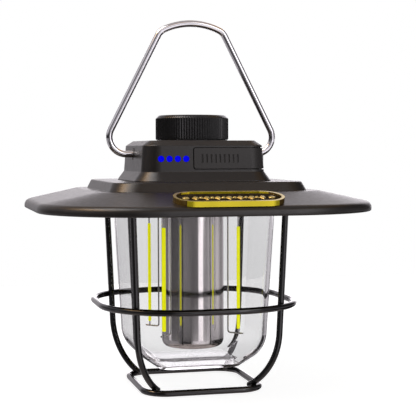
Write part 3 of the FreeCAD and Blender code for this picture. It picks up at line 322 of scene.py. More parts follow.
def skin(name, sections, steps, closed=True):
    """Rounded squares bridged in turn: closed to a ring, or capped at both ends."""
    piece = empty_mesh(name)
    count = len(sections)
    for k, (_, half, corner) in enumerate(sections):
        square_ring(half, corner, k * RING_APART, steps)
    for k in range(count if closed else count - 1):
        pick_rings(piece, k, (k + 1) % count)
        bpy.ops.mesh.bridge_edge_loops()
    if not closed:
        for k in (0, count - 1):
            pick_rings(piece, k)
            bpy.ops.mesh.edge_face_add()
    for k, (height, _, _) in enumerate(sections):
        pick_rings(piece, k)
        bpy.ops.transform.translate(value=(0, 0, height - k * RING_APART))
    tidy(piece)
    return piece


def softened(rows, steps=4, most=0.45):
    """Sections along a rounded profile, from rows of height, half width, corner radius and rounding."""
    out = []
    points = [Vector(row[:3]) for row in rows]
    for k, point in enumerate(points):
        radius = rows[k][3]
        if not radius:
            out.append(tuple(point))
            continue
        back, ahead = points[k - 1] - point, points[(k + 1) % len(points)] - point
        bend = math.pi - back.xy.angle(ahead.xy)
        cut = radius * math.tan(bend / 2)
        start = point + back * min(most, cut / back.xy.length)
        end = point + ahead * min(most, cut / ahead.xy.length)
        for i in range(steps + 1):
            t = i / steps
            out.append(tuple(start * (1 - t) ** 2 + point * 2 * t * (1 - t) + end * t ** 2))
    return out


def add_modifier(piece, kind, **settings):
    """Add a modifier, set it and apply it."""
    pick(piece)
    bpy.ops.object.modifier_add(type=kind)
    modifier = piece.modifiers[-1]
    for key, value in settings.items():
        setattr(modifier, key, value)
    bpy.ops.object.modifier_apply(modifier=modifier.name)


def bevelled(piece, width, segments=3, degrees=30):
    """Round a piece's edges where they are sharper than an angle."""
    add_modifier(piece, "BEVEL", width=width, segments=segments, limit_method="ANGLE",
                 angle_limit=math.radians(degrees))


def carve(piece, tool, operation="DIFFERENCE"):
    """Cut with a tool or join it on, and throw the tool away."""
    add_modifier(piece, "BOOLEAN", operation=operation, object=tool, solver="EXACT")
    bpy.data.objects.remove(tool)


def smooth(piece, degrees=32, weighted=True):
    """The piece, shaded smooth across edges up to an angle."""
    pick(piece)
    bpy.ops.object.shade_smooth_by_angle(angle=math.radians(degrees))
    if weighted:
        add_modifier(piece, "WEIGHTED_NORMAL", keep_sharp=True, weight=50)
    return piece


def block(low, high, edge=0.0):
    """A box between two corners, with its edges bevelled."""
    all_free()
    low, high = Vector(low), Vector(high)
    bpy.ops.mesh.primitive_cube_add(size=1, location=(low + high) / 2)
    piece = bpy.context.object
    piece.scale = high - low
    applied(piece)
    if edge:
        bevelled(piece, edge)
    return piece


def bar(radius, start, end):
    """A round bar between two points."""
    all_free()
    start, end = Vector(start), Vector(end)
    along = end - start
    bpy.ops.mesh.primitive_cylinder_add(vertices=32, radius=radius, depth=along.length,
                                        location=(start + end) / 2,
                                        rotation=along.to_track_quat("Z", "Y").to_euler())
    return applied(bpy.context.object)


def dome(radius, place, flat, segments, rings):
    """A ball flattened to a share of its height."""
    all_free()
    bpy.ops.mesh.primitive_uv_sphere_add(segments=segments, ring_count=rings, radius=radius, location=place)
    bpy.context.object.scale = (1, 1, flat)
    return applied(bpy.context.object)


def row(piece, count, pitch):
    """A piece and its copies side by side, each with a mesh of its own."""
    pieces = [piece]
    for k in range(1, count):
        pick(piece)
        bpy.ops.object.duplicate_move(OBJECT_OT_duplicate={"linked": False},
                                      TRANSFORM_OT_translate={"value": (pitch * k, 0, 0)})
        pieces.append(bpy.context.object)
    return pieces


def joined(name, pieces):
    """The pieces made one, with its name."""
    pick(*pieces)
    bpy.ops.object.join()
    return named(name)


def keep_side(piece, point, normal):
    """Cut a closed mesh by a plane, keep the side that the normal points to and close it."""
    pick(piece)
    edit_all()
    bpy.ops.mesh.bisect(plane_co=point, plane_no=normal, clear_inner=True)
    bpy.ops.mesh.select_all(action="SELECT")
    bpy.ops.mesh.fill_holes(sides=0)
    bpy.ops.mesh.select_all(action="SELECT")
    bpy.ops.mesh.normals_make_consistent(inside=False)
    bpy.ops.object.mode_set(mode="OBJECT")


class Wire:
    """A round wire drawn run by run: straight pieces are extruded and bends are spun."""

    def __init__(self, name, radius, start, heading, sides):
        all_free()
        self.at, self.heading = Vector(start), Vector(heading).normalized()
        bpy.ops.mesh.primitive_circle_add(vertices=sides, radius=radius, location=self.at,
                                          rotation=self.heading.to_track_quat("Z", "Y").to_euler())
        self.piece = applied(named(name))
        edit_all()

    def cap(self):
        """Close the open end that is selected."""
        bpy.ops.mesh.edge_face_add()

    def run(self, distance):
        """Go straight on."""
        step = self.heading * distance
        extrude(step)
        self.at = self.at + step

    def bend(self, centre, axis, angle, steps):
        """Turn about an axis through a centre, right-handed; spin counts the other way."""
        bpy.ops.mesh.spin(steps=steps, angle=-angle, center=centre, axis=axis)
        turn = Matrix.Rotation(angle, 3, Vector(axis))
        centre = Vector(centre)
        self.at = centre + turn @ (self.at - centre)
        self.heading = turn @ self.heading

    def finish(self):
        """Leave edit mode with the wire cleaned and shaded smooth."""
        tidy(self.piece)
        return smooth(self.piece, 40, weighted=False)


# Finishes

class Tree:
    """Short ways to build the nodes of a material or a world."""

    def __init__(self, owner):
        owner.use_nodes = True
        self.nodes, self.links = owner.node_tree.nodes, owner.node_tree.links

    def put(self, node, inputs):
        """Link the inputs that are given an output, and set the others."""
        for key, source in inputs.items():
            if isinstance(source, bpy.types.NodeSocket):
                self.links.new(source, node.inputs[key])
            else:
                node.inputs[key].default_value = source

    def add(self, kind, inputs=None, **settings):
        """A new node, set and linked."""
        node = self.nodes.new(kind)
        for key, value in settings.items():
            setattr(node, key, value)
        self.put(node, inputs or {})
        return node

    def math(self, operation, *sources):
        """The result of a math node."""
        return self.add("ShaderNodeMath", dict(enumerate(sources)), operation=operation).outputs[0]

    def span(self, source, start, end, low=0.0, high=1.0, **settings):
        """Carry the numbers from start to end over to low to high."""
        inputs = {"Value": source, "From Min": start, "From Max": end, "To Min": low, "To Max": high}
        return self.add("ShaderNodeMapRange", inputs, **settings).outputs["Result"]

    def ramp(self, source, stops):
        """Colours by their positions along a number; a new ramp has two stops already."""
        node = self.add("ShaderNodeValToRGB", {"Fac": source})
        elements = node.color_ramp.elements
        for number, (position, shade) in enumerate(stops):
            stop = elements[number] if number < 2 else elements.new(position)
            stop.position = position
            stop.color = (*shade, 1)
        return node.outputs["Color"]


MATERIALS = {}
NOISE_SPAN = (0.3, 0.7)  # most of a noise lies between these
DRAWN = (1, 1, 0.02)  # stretch of the streaks on drawn metal
METAL = {"Metallic": 1.0}


def finish(name, base, rough, tone, sheen=None, grain=None, inputs=None):
    """A material on object coordinates, varied by noises of a scale, a detail, two values and a stretch.

    The two values are shares of the colour for the tone, roughnesses for the sheen, and a height and a
    strength for the grain.
    """
    material = bpy.data.materials.new(name)
    tree = Tree(material)
    shader = tree.nodes["Principled BSDF"]
    place = tree.add("ShaderNodeTexCoord").outputs["Object"]

    def noise(scale, detail, low, high, stretch=(1, 1, 1)):
        mapped = tree.add("ShaderNodeMapping", {"Vector": place, "Scale": stretch}).outputs["Vector"]
        pattern = tree.add("ShaderNodeTexNoise", {"Vector": mapped, "Scale": scale, "Detail": detail})
        return pattern.outputs["Fac"], low, high

    pattern, darker, lighter = noise(*tone)
    shades = [[min(1.0, part * share) for part in base] for share in (darker, lighter)]
    tree.put(shader, {"Base Color": tree.ramp(pattern, zip(NOISE_SPAN, shades)), "Roughness": rough})
    tree.put(shader, inputs or {})
    if sheen:
        pattern, low, high = noise(*sheen)
        tree.put(shader, {"Roughness": tree.span(pattern, *NOISE_SPAN, low, high)})
    if grain:
        pattern, height, strength = noise(*grain)
        bump = tree.add("ShaderNodeBump", {"Strength": strength, "Distance": height, "Height": pattern})
        tree.put(shader, {"Normal": bump.outputs["Normal"]})
    return material


def moulded(name, base, rough, grain=1800, gloss=0.5):
    """Moulded plastic: fine spark-eroded grain, slightly cloudy colour and gloss."""
    return finish(name, base, rough, tone=(260, 4, 0.9, 1.1), sheen=(700, 3, rough - 0.02, rough + 0.03),
                  grain=(grain, 2, 0.03 * MM, 0.35), inputs={"Specular IOR Level": gloss})


def drawn_metal(name, base, rough):
    """Drawn metal: long fine streaks along one axis."""
    return finish(name, base, rough, tone=(2600, 2, 0.8, 1.1, DRAWN),
                  sheen=(2600, 2, rough * 0.7, rough * 1.4, DRAWN),
                  grain=(2600, 2, 0.004 * MM, 0.3, DRAWN), inputs=METAL)


def soft_rubber(name, base, rough):
    """Soft rubber, foam or felt: matt and faintly mottled."""
    return finish(name, base, rough, tone=(90, 4, 0.88, 1.12), grain=(2400, 2, 0.02 * MM, 0.3))


def coated_wire(base):
    """Gloss black coat with a faint orange peel."""
    return finish("gloss_black_coat", base, 0.16, tone=(140, 3, 0.7, 1.3), sheen=(300, 3, 0.1, 0.16),
                  grain=(900, 2, 0.01 * MM, 0.2), inputs={"Coat Weight": 0.3, "Coat Roughness": 0.05})


def polished_tube(base):
    """Bright drawn tube with upright polishing lines."""
    return finish("polished_tube_steel", base, 0.14, tone=(260, 4, 0.82, 1.14, (1, 1, 0.012)),
                  sheen=(900, 2, 0.07, 0.12, DRAWN), grain=(700, 2, 0.006 * MM, 0.2, (1, 1, 0.01)),
                  inputs=METAL)


def lit(name, base, rough, tone, gloss, glow, grain=None):
    """A surface that gives light of its own colour."""
    return finish(name, base, rough, tone, grain=grain, inputs={
        "Specular IOR Level": gloss, "Emission Color": (*base, 1), "Emission Strength": glow})


def gilt(name, base, metal):
    """Polished brass with rubbed, browner patches."""
    return finish(name, base, 0.2, tone=(120, 3, 0.88, 1.06), sheen=(200, 3, 0.17, 0.24),
                  inputs={"Metallic": metal})


def make_finishes(colours):
    """All the lantern's materials, by the record's slots, and those that only the pieces here need."""
    MATERIALS.clear()
    MATERIALS.update({
        "housing": moulded("satin_housing", colours.housing, 0.34),
        "knob": moulded("satin_knob", colours.knob, 0.24),
        "knob_top": moulded("matt_knob_top", colours.knob, 0.6, gloss=0.1),
        "flap": soft_rubber("satin_flap", colours.flap, 0.42),
        "steel": drawn_metal("plated_steel", (0.62, 0.62, 0.63), 0.28),
        "board_black": moulded("black_insulator", (0.03, 0.03, 0.03), 0.45),
        "indicator_blue": lit("lit_charge_light", colours.light, 0.25, tone=(900, 2, 0.1, 0.2),
                              gloss=0.05, glow=0.95),
        "lead_white": moulded("white_lamp_body", (0.8, 0.8, 0.76), 0.35),
        "board_green": moulded("green_board", (0.02, 0.16, 0.07), 0.3, grain=900),
        "screw_black": drawn_metal("black_oxide", (0.04, 0.04, 0.045), 0.35),
        "brass_plain": gilt("plain_brass", (0.78, 0.57, 0.2), 1.0),
        "felt": soft_rubber("grey_felt", (0.09, 0.09, 0.09), 0.9),
        "chrome": finish("polished_chrome", colours.chrome, 0.04, tone=(120, 3, 0.95, 1.03),
                         sheen=(60, 2, 0.06, 0.08), inputs=METAL),
        "nylon": moulded("dark_nylon", (0.05, 0.048, 0.047), 0.45),
        "black_wire": coated_wire(colours.wire),
        "clear": finish("clear_moulding", colours.shade, 0.0, tone=(30, 2, 0.985, 1.0),
                        inputs={"Transmission Weight": 1.0, "IOR": 1.15}),
        "gasket": soft_rubber("grey_gasket", (0.42, 0.42, 0.42), 0.6),
        "plate_white": moulded("white_lamp_plate", (0.8, 0.8, 0.79), 0.35),
        "lead_steel": drawn_metal("drawn_lead_wire", (0.66, 0.66, 0.64), 0.25),
        "tube_steel": polished_tube(colours.tube),
        "foam": soft_rubber("dark_foam", (0.12, 0.12, 0.12), 0.9),
        "cell_wrap": moulded("blue_shrink_wrap", (0.05, 0.25, 0.5), 0.25),
        "sleeve": moulded("pale_sleeve", (0.6, 0.6, 0.58), 0.4),
        "cell_lead": soft_rubber("red_insulation", (0.5, 0.04, 0.03), 0.4),
        "filament": lit("lit_phosphor", colours.filament, 0.45, tone=(700, 2, 0.9, 1.05),
                        gloss=0.1, glow=0.8, grain=(1500, 2, 0.03 * MM, 0.3)),
        "brass": gilt("polished_brass", colours.brass, 0.5),
        # Painted shade on the nameplate's up-facing rim; the same darker brass colours the beads, lozenges
        # and rivets
        "antique_and_painted_shade": gilt("antique_brass_and_painted_shade", colours.antique_and_painted_shade, 0.5),
        # Painted shade: the dark brown brass copy for the nameplate's sideways round ends
        "painted_end_shade": gilt("brass_with_painted_end_shade", colours.painted_end_shade, 0.6),
        "field": finish("dark_stippled_field", colours.field, 0.5, tone=(500, 3, 0.5, 1.8),
                        grain=(1500, 2, 0.06 * MM, 0.6), inputs={"Specular IOR Level": 0.0}),
    })


def give(piece, *finishes):
    """Give a piece its materials, in order."""
    piece.data.materials.clear()
    for name in finishes:
        piece.data.materials.append(MATERIALS[name])


def hand_over(piece, slot, body, *nodes, finishes=None):
    """Give a piece its finishes or its slot's material, put it in its body and hide the nodes it replaces.
    """
    give(piece, *(finishes or [slot]))
    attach(piece, body)
    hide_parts(*nodes)


def at_corners(piece, slot, node, ending):
    """Hand over a copy of a piece at each corner, and throw the piece away."""
    for corner, degrees in CORNERS.items():
        pick(piece)
        bpy.ops.object.duplicate(linked=False)
        twin = named(f"{node}_{corner}_{ending}")
        twin.rotation_euler = (0, 0, math.radians(degrees))
        hand_over(applied(twin), slot, "lantern", f"{node}_{corner}")
    bpy.data.objects.remove(piece)


# Operators

class LANTERN_OT_finishes(bpy.types.Operator):
    """Make the materials and give the pieces inside the lantern theirs"""
    bl_idname = "lantern.finishes"
    bl_label = "Finishes and inner pieces"

    def execute(self, context):
        make_finishes(context.scene.lantern_finishes)
        slots = {part["node"]: part["material_slot"] for part in frame["record"]["subparts"]}
        for node, piece in frame["nodes"].items():
            give(piece, slots[node])
        return {"FINISHED"}


def ring(s, height, name, edge=0, inset=0.0):
    """Row of a profile at a height: the rounded square of that name, set in, and its rounding."""
    return height, getattr(s, name + "_half") - inset, getattr(s, name + "_corner") - inset, edge


# Roundings of the hat
PLINTH_TOP_EDGE, PLINTH_FOOT, LEDGE_EDGE, LIP_INSIDE = 0.7 * MM, 0.35 * MM, 0.6 * MM, 0.3 * MM


class LANTERN_OT_hat(bpy.types.Operator):
    """Model the brim and plinth as one moulded shell"""
    bl_idname = "lantern.hat"
    bl_label = "Hat brim"

    def execute(self, context):
        s = context.scene.lantern_hat
        lip_top = LIP_BOTTOM + s.lip
        ledge = lip_top + s.slope
        hole_corner = s.plinth_top_corner / 2
        rows = [
            (PLINTH_TOP, s.roof_hole, hole_corner, 0),
            ring(s, PLINTH_TOP, "plinth_top", PLINTH_TOP_EDGE),
            ring(s, ledge, "plinth", PLINTH_FOOT),
            ring(s, ledge, "ledge", LEDGE_EDGE),
            ring(s, lip_top, "brim", s.lip_top_round),
            ring(s, LIP_BOTTOM, "brim", s.lip_bottom_round),
            ring(s, LIP_BOTTOM, "brim", LIP_INSIDE, s.wall),
            ring(s, lip_top - s.wall, "brim", inset=s.wall),
            ring(s, ledge - s.wall, "ledge"),
            ring(s, ledge - s.wall, "plinth", inset=s.wall),
            ring(s, PLINTH_TOP - s.wall, "plinth_top", inset=s.wall),
            (PLINTH_TOP - s.wall, s.roof_hole, hole_corner, 0),
        ]
        piece = skin("hat_brim_shell", softened(rows, steps=6, most=0.7), SHELL_STEPS)
        hand_over(smooth(piece), "housing", "lantern", "hat_brim")
        return {"FINISHED"}


def box_section(s, height, inset):
    """Section of the box's upright sides at a height, set in from the outside."""
    share = (height - PLINTH_TOP - s.flare) / s.height
    half = s.low_half + (s.top_half - s.low_half) * share
    corner = s.low_corner + (s.top_corner - s.low_corner) * share
    return height, half - inset, corner - inset


def front_block(x, half_width, half_height, front, back, edge=0.0):
    """A block at the charging port's height, between two depths."""
    return block((x - half_width, front, PORT.z - half_height),
                 (x + half_width, back, PORT.z + half_height), edge)


def flap_body(s, name, out, inset, grow, corner):
    """The flap's wrap round the right front corner, between two depths, grown by a seam."""
    low = PLINTH_TOP + s.flare + s.flap_rise - grow
    high = low + s.flap_height + grow * 2
    piece = skin(name, [box_section(s, low, -out), box_section(s, high, -out),
                        box_section(s, high, inset), box_section(s, low, inset)], SHELL_STEPS)
    keep_side(piece, (0, -s.flap_end + grow, 0), (0, -1, 0))
    keep_side(piece, (-s.flap_left - grow, 0, 0), (1, 0, 0))
    # Round the corners of the flap's outline, which are the level edges of its two ends
    bpy.ops.object.mode_set(mode="EDIT")
    mesh = bmesh.from_edit_mesh(piece.data)
    for face in mesh.faces:
        face.select = False
    left = min(v.co.x for v in mesh.verts) + NEAR
    end = max(v.co.y for v in mesh.verts) - NEAR
    for edge in mesh.edges:
        one, two = (v.co for v in edge.verts)
        at_end = max(one.x, two.x) < left or min(one.y, two.y) > end
        edge.select = at_end and abs(one.z - two.z) < NEAR
    bmesh.update_edit_mesh(piece.data)
    bpy.ops.mesh.bevel(offset=corner, segments=5, affect="EDGES")
    bpy.ops.object.mode_set(mode="OBJECT")
    return piece


SKIRT_EDGE, WAIST, BOX_TOP_EDGE, CROWN_EDGE = 0.25 * MM, 0.8 * MM, 0.45 * MM, 0.7 * MM  # roundings
DIMMER_HOLE = 3.6 * MM  # radius of the roof's hole for the dimmer
RECESS_OUT, RECESS_CORNER = 2 * MM, 1.1 * MM  # how far the flap's recess is cut out, and its corners
PORT_WINDOW = (4.9 * MM, 2.1 * MM)  # half width and half height of the hole in front of the socket
LIGHTS = 4


class LANTERN_OT_box(bpy.types.Operator):
    """Model the upper box with its skirt, its bevelled roof and the cut-outs in its sides"""
    bl_idname = "lantern.box"
    bl_label = "Upper box"

    def execute(self, context):
        s = context.scene.lantern_box
        wall = context.scene.lantern_hat.wall
        flare_top = PLINTH_TOP + s.flare
        ceiling = CROWN - s.crown
        inner = s.top_half - wall
        rows = [
            ring(s, PLINTH_TOP, "flare", SKIRT_EDGE),
            ring(s, flare_top, "low", WAIST),
            ring(s, flare_top + s.height, "top", BOX_TOP_EDGE),
            ring(s, CROWN, "crown", CROWN_EDGE),
            (CROWN, DIMMER_HOLE, DIMMER_HOLE, 0),
            (ceiling, DIMMER_HOLE, DIMMER_HOLE, 0),
            ring(s, ceiling, "top", inset=wall),
            ring(s, PLINTH_TOP, "top", inset=wall),
        ]
        piece = skin("upper_box_shell", softened(rows), SHELL_STEPS)
        carve(piece, flap_body(s, "flap_recess", RECESS_OUT, s.flap_thickness + s.seam / 2, s.seam,
                               RECESS_CORNER))
        carve(piece, front_block(PORT.x, *PORT_WINDOW, -s.low_half, -inner + wall / 2))
        height = (GUIDE_LOW.z + GUIDE_HIGH.z) / 2
        radius = (GUIDE_HIGH.z - GUIDE_LOW.z) / 2
        first, last = GUIDE_LOW.x + radius, GUIDE_HIGH.x - radius
        hole = bar(s.light_radius, (first, -s.low_half - wall, height), (first, -inner + wall, height))
        for tool in row(hole, LIGHTS, (last - first) / (LIGHTS - 1)):
            carve(piece, tool)
        for side in (-1, 1):
            carve(piece, bar(s.bush_radius, (side * (inner - wall), 0, BAIL_PIVOT),
                             (side * (s.low_half + wall), 0, BAIL_PIVOT)))
        tidy(piece)
        hand_over(smooth(piece), "housing", "lantern", "top_housing")
        return {"FINISHED"}


FLAP_CORNER, FLAP_EDGE = 0.9 * MM, 0.15 * MM
PLUG = (4.55 * MM, 1.75 * MM)  # half width and half height of the plug behind the flap
PLUG_DEPTH, PLUG_EDGE = 0.8 * MM, 0.3 * MM
TAB_RISE, TAB_WIDTH, TAB_HEIGHT, TAB_OUT, TAB_EDGE = 2 * MM, 1.6 * MM, 3.1 * MM, 0.4 * MM, 0.25 * MM
GROOVES, FIRST_GROOVE, GROOVE_PITCH = 9, -1.6 * MM, 1.7 * MM
GROOVE = (0.3 * MM, 1.6 * MM)  # half width and half height of a grip groove
GROOVE_OUT, GROOVE_DEPTH, GROOVE_EDGE = 1 * MM, 0.3 * MM, 0.2 * MM


class LANTERN_OT_flap(bpy.types.Operator):
    """Model the rubber flap with its plug, pull tab and a row of grip grooves"""
    bl_idname = "lantern.flap"
    bl_label = "Port flap"

    def execute(self, context):
        s = context.scene.lantern_box
        piece = flap_body(s, "port_flap", 0.0, s.flap_thickness, 0.0, FLAP_CORNER)
        bevelled(piece, FLAP_EDGE, 2, 40)
        face = box_section(s, PORT.z, 0)[1]
        half = s.flap_thickness / 2
        plug = front_block(PORT.x, *PLUG, half - face, s.flap_thickness - face + PLUG_DEPTH, PLUG_EDGE)
        carve(piece, plug, "UNION")
        low = PLINTH_TOP + s.flare + s.flap_rise + TAB_RISE
        end = -s.flap_end - s.seam
        tab = block((face - half, end - TAB_WIDTH, low), (face + TAB_OUT, end, low + TAB_HEIGHT), TAB_EDGE)
        carve(piece, tab, "UNION")
        groove = front_block(FIRST_GROOVE, *GROOVE, -face - GROOVE_OUT, GROOVE_DEPTH - face, GROOVE_EDGE)
        for tool in row(groove, GROOVES, GROOVE_PITCH):
            carve(piece, tool)
        hand_over(smooth(piece), "flap", "flap", "port_cover")
        return {"FINISHED"}


KNOB_LIP = 0.3 * MM
EDGE_REACH = 0.95  # how far the bevel's middle ring goes in, as a share of the bevel
TOP_RING, TOP_DISH = 0.72, 0.02 * MM  # share of the radius where the flat top starts, and how deep it lies
RIB_STEPS = 6  # points round the rim for each rib
RIB_SHAPE = (((1, 5), 0.25), ((2, 4), 0.75), ((3,), 1.0))  # points of a rib and their shares of the groove
FACES_UP = 0.95  # upward part of the normal of faces that look up


class LANTERN_OT_knob(bpy.types.Operator):
    """Model the dimmer's knob with its grip ribs"""
    bl_idname = "lantern.knob"
    bl_label = "Dimmer knob"

    def execute(self, context):
        s = context.scene.lantern_knob
        radius, low, top = KNOB_HIGH.x, KNOB_LOW.z, KNOB_HIGH.z
        count = s.ribs * RIB_STEPS
        inside = (radius - s.wall, top - s.wall)
        rim = [
            (radius - s.wall, low),
            (radius - KNOB_LIP, low),
            (radius, low + KNOB_LIP),
            (radius, top - s.edge - KNOB_LIP),
            (radius - KNOB_LIP / 2, top - s.edge),
            (radius - s.edge * EDGE_REACH, top - KNOB_LIP / 2),
            (radius - s.edge - KNOB_LIP, top),
            (radius * TOP_RING, top - TOP_DISH),
        ]
        piece = empty_mesh("dimmer_knob_ribbed")
        bpy.ops.mesh.primitive_circle_add(vertices=count, radius=inside[0], location=(0, 0, inside[1]))
        for (last_reach, last_height), (reach, height) in zip([inside] + rim, rim):
            extrude((0, 0, height - last_height))
            share = reach / last_reach
            bpy.ops.transform.resize(value=(share, share, 1), center_override=(0, 0, height))
        bpy.ops.mesh.edge_face_add()
        mesh = bmesh.from_edit_mesh(piece.data)
        ribs = {v.index: round(math.atan2(v.co.y, v.co.x) / math.tau * count) % RIB_STEPS
                for v in mesh.verts if abs(v.co.xy.length - radius) < NEAR}
        for steps, share in RIB_SHAPE:
            mesh = bmesh.from_edit_mesh(piece.data)
            for vertex in mesh.verts:
                vertex.select = ribs.get(vertex.index) in steps
            mesh.select_flush_mode()
            bmesh.update_edit_mesh(piece.data)
            scale = (radius - s.groove * share) / radius
            bpy.ops.transform.resize(value=(scale, scale, 1), center_override=(0, 0, 0))
        bpy.ops.mesh.select_all(action="DESELECT")
        mesh = bmesh.from_edit_mesh(piece.data)
        for edge in mesh.edges:
            edge.select = edge.is_boundary
        bmesh.update_edit_mesh(piece.data)
        bpy.ops.mesh.edge_face_add()
        tidy(piece)
        hand_over(smooth(piece, 44), "knob", "knob", "dimmer_knob", finishes=["knob", "knob_top"])
        for face in piece.data.polygons:
            if face.normal.z > FACES_UP:
                face.material_index = 1
        return {"FINISHED"}


BAIL_FOOT = 18.8 * MM  # where the bail's ends lie from the middle


class LANTERN_OT_bail(bpy.types.Operator):
    """Draw the bail's wire from foot to foot"""
    bl_idname = "lantern.bail"
    bl_label = "Bail"

    def execute(self, context):
        s = context.scene.lantern_wires
        lean = s.bail_lean
        out = Vector((math.cos(lean), 0, math.sin(lean)))
        along = Vector((-math.sin(lean), 0, math.cos(lean)))
        bend_centre = Vector((s.bail_bend_reach, 0, BAIL_PIVOT + s.bail_bend))
        crown_centre = Vector((0, 0, BAIL_TOP - s.bail - s.bail_crown))
        # The leg ends where the shoulder's bend runs into the crown
        inner_line = bend_centre + out * s.bail_bend - out * s.bail_shoulder
        offset = inner_line - crown_centre
        half = offset.dot(along)
        reach = s.bail_crown - s.bail_shoulder
        leg = -half + math.sqrt(half ** 2 - offset.length_squared + reach ** 2)
        shoulder = inner_line + along * leg
        tilt = (shoulder - crown_centre).normalized()
        crown_angle = math.atan2(tilt.x, tilt.z)
        shoulder_angle = math.pi / 2 - lean - crown_angle
        axis = (0, -1, 0)
        wire = Wire("bail_wire", s.bail, (BAIL_FOOT, 0, BAIL_PIVOT), (1, 0, 0), 32)
        wire.cap()
        wire.run(s.bail_bend_reach - BAIL_FOOT)
        wire.bend(bend_centre, axis, math.pi / 2 + lean, 24)
        wire.run(leg)
        wire.bend(shoulder, axis, shoulder_angle, 10)
        wire.bend(crown_centre, axis, crown_angle * 2, 40)
        wire.bend(Vector((-shoulder.x, 0, shoulder.z)), axis, shoulder_angle, 10)
        wire.run(leg)
        wire.bend(Vector((-bend_centre.x, 0, bend_centre.z)), axis, math.pi / 2 + lean, 24)
        wire.run(s.bail_bend_reach - BAIL_FOOT)
        wire.cap()
        hand_over(wire.finish(), "chrome", "bail", "bail_handle")
        return {"FINISHED"}


def wire_square(name, radius, half, corner, height):
    """A closed wire with round corners."""
    flat = half - corner
    wire = Wire(name, radius, (0, -half, height), (1, 0, 0), 28)
    wire.run(flat)
    for k in range(4):
        turn = Matrix.Rotation(math.pi / 2 * k, 3, "Z")
        wire.bend(turn @ Vector((flat, -flat, height)), (0, 0, 1), math.pi / 2, 20)
        wire.run(flat if k == 3 else flat * 2)
    return wire.finish()


ROD_CHAMFER, CHAMFER_SHARE = 0.3 * MM, 0.75  # length of a rod's chamfer, and what it leaves of the wire


class LANTERN_OT_guard(bpy.types.Operator):
    """Draw the guard's four rods, its ring and the base frame"""
    bl_idname = "lantern.guard"
    bl_label = "Wire guard"

    def execute(self, context):
        s = context.scene.lantern_wires

        def on_rod(height):
            return Vector((s.rod_reach + s.rod_slope * (height - LIP_BOTTOM), 0, height))

        start, bend_start = on_rod(ROD_TOP), on_rod(s.rod_bend_height)
        down = (bend_start - start).normalized()
        inward = Vector((down.z, 0, -down.x))
        centre = bend_start + inward * s.rod_bend
        begin = math.atan2(bend_start.z - centre.z, bend_start.x - centre.x)
        end = -math.asin((centre.z - s.rod_tip) / s.rod_bend)
        rod = Wire("guard_rod", s.guard, start, down, 24)
        rod.cap()
        rod.run((bend_start - start).length)
        rod.bend(centre, (0, 1, 0), begin - end - ROD_CHAMFER / s.rod_bend, 20)
        rod.run(ROD_CHAMFER)
        bpy.ops.transform.resize(value=(CHAMFER_SHARE,) * 3)
        rod.cap()
        at_corners(rod.finish(), "black_wire", "guard_rod", "wire")
        hoop = wire_square("guard_ring_wire", s.guard, RING_HALF - s.guard, s.ring_corner, s.ring_height)
        hand_over(hoop, "black_wire", "lantern", "guard_ring")
        base = wire_square("base_frame_wire", s.guard, BASE_HALF - s.guard, s.base_corner, s.guard)
        hand_over(base, "black_wire", "lantern", "base_frame")
        return {"FINISHED"}


SHOULDER_STEPS = 14
KNUCKLE = 1.2 * MM  # rounding between the shade's flat bottom and its shoulder
GATE_TIP, GATE_FOOT, GATE_RISE = 0.9, 1.05, 0.1 * MM  # the moulding mark's tip, foot and foot's height


class LANTERN_OT_shade(bpy.types.Operator):
    """Model the clear shade: flange, drafted walls, shoulder and flat bottom"""
    bl_idname = "lantern.shade"
    bl_label = "Shade"

    def execute(self, context):
        s = context.scene.lantern_shade
        bottom = SHADE_LOW + s.gate_height

        def half_at(height):
            return s.half + s.draft * (height - s.gauge)

        def walls(inset, top):
            """Sections from the flat bottom up round the shoulder to a level."""
            start = half_at(s.bend_height)
            radius = s.bend - inset
            low = bottom + inset
            turns = [s.bend_turn * k / SHOULDER_STEPS for k in range(SHOULDER_STEPS, -1, -1)]
            levels = [(s.bend_height - radius * math.sin(turn), start - s.bend + radius * math.cos(turn))
                      for turn in turns]
            last_height, last_half = levels[0]
            foot = last_half - (last_height - low) * math.tan(s.bend_turn)
            rise = (s.corner - s.bottom_corner) / (start - inset - foot)
            corner = s.bottom_corner - inset
            rings = [(z, half, corner + (half - foot) * rise) for z, half in levels]
            knuckle = softened([(low, foot / 2, s.bottom_corner / 2, 0), (low, foot, corner, KNUCKLE),
                                (*rings[0], 0)], 5)[1:-1]
            return knuckle + rings + [(top, half_at(top) - inset, s.corner - inset)]

        gate = [(SHADE_LOW, s.gate * GATE_TIP, s.gate), (bottom - GATE_RISE, s.gate, s.gate),
                (bottom, s.gate * GATE_FOOT, s.gate * GATE_FOOT)]
        flange_low = SHADE_HIGH - s.flange
        flange = [(level, s.flange_half, s.flange_corner) for level in (flange_low, SHADE_HIGH)]
        sections = gate + walls(0.0, flange_low) + flange + walls(s.wall, SHADE_HIGH)[::-1]
        piece = skin("clear_shade", sections, 20, closed=False)
        hand_over(smooth(piece, 50), "clear", "lantern", "shade")
        return {"FINISHED"}


TUBE_HOLE = 0.4  # inner end of the tube's bottom, as a share of its radius
STRIP_EDGE = 0.32 * MM


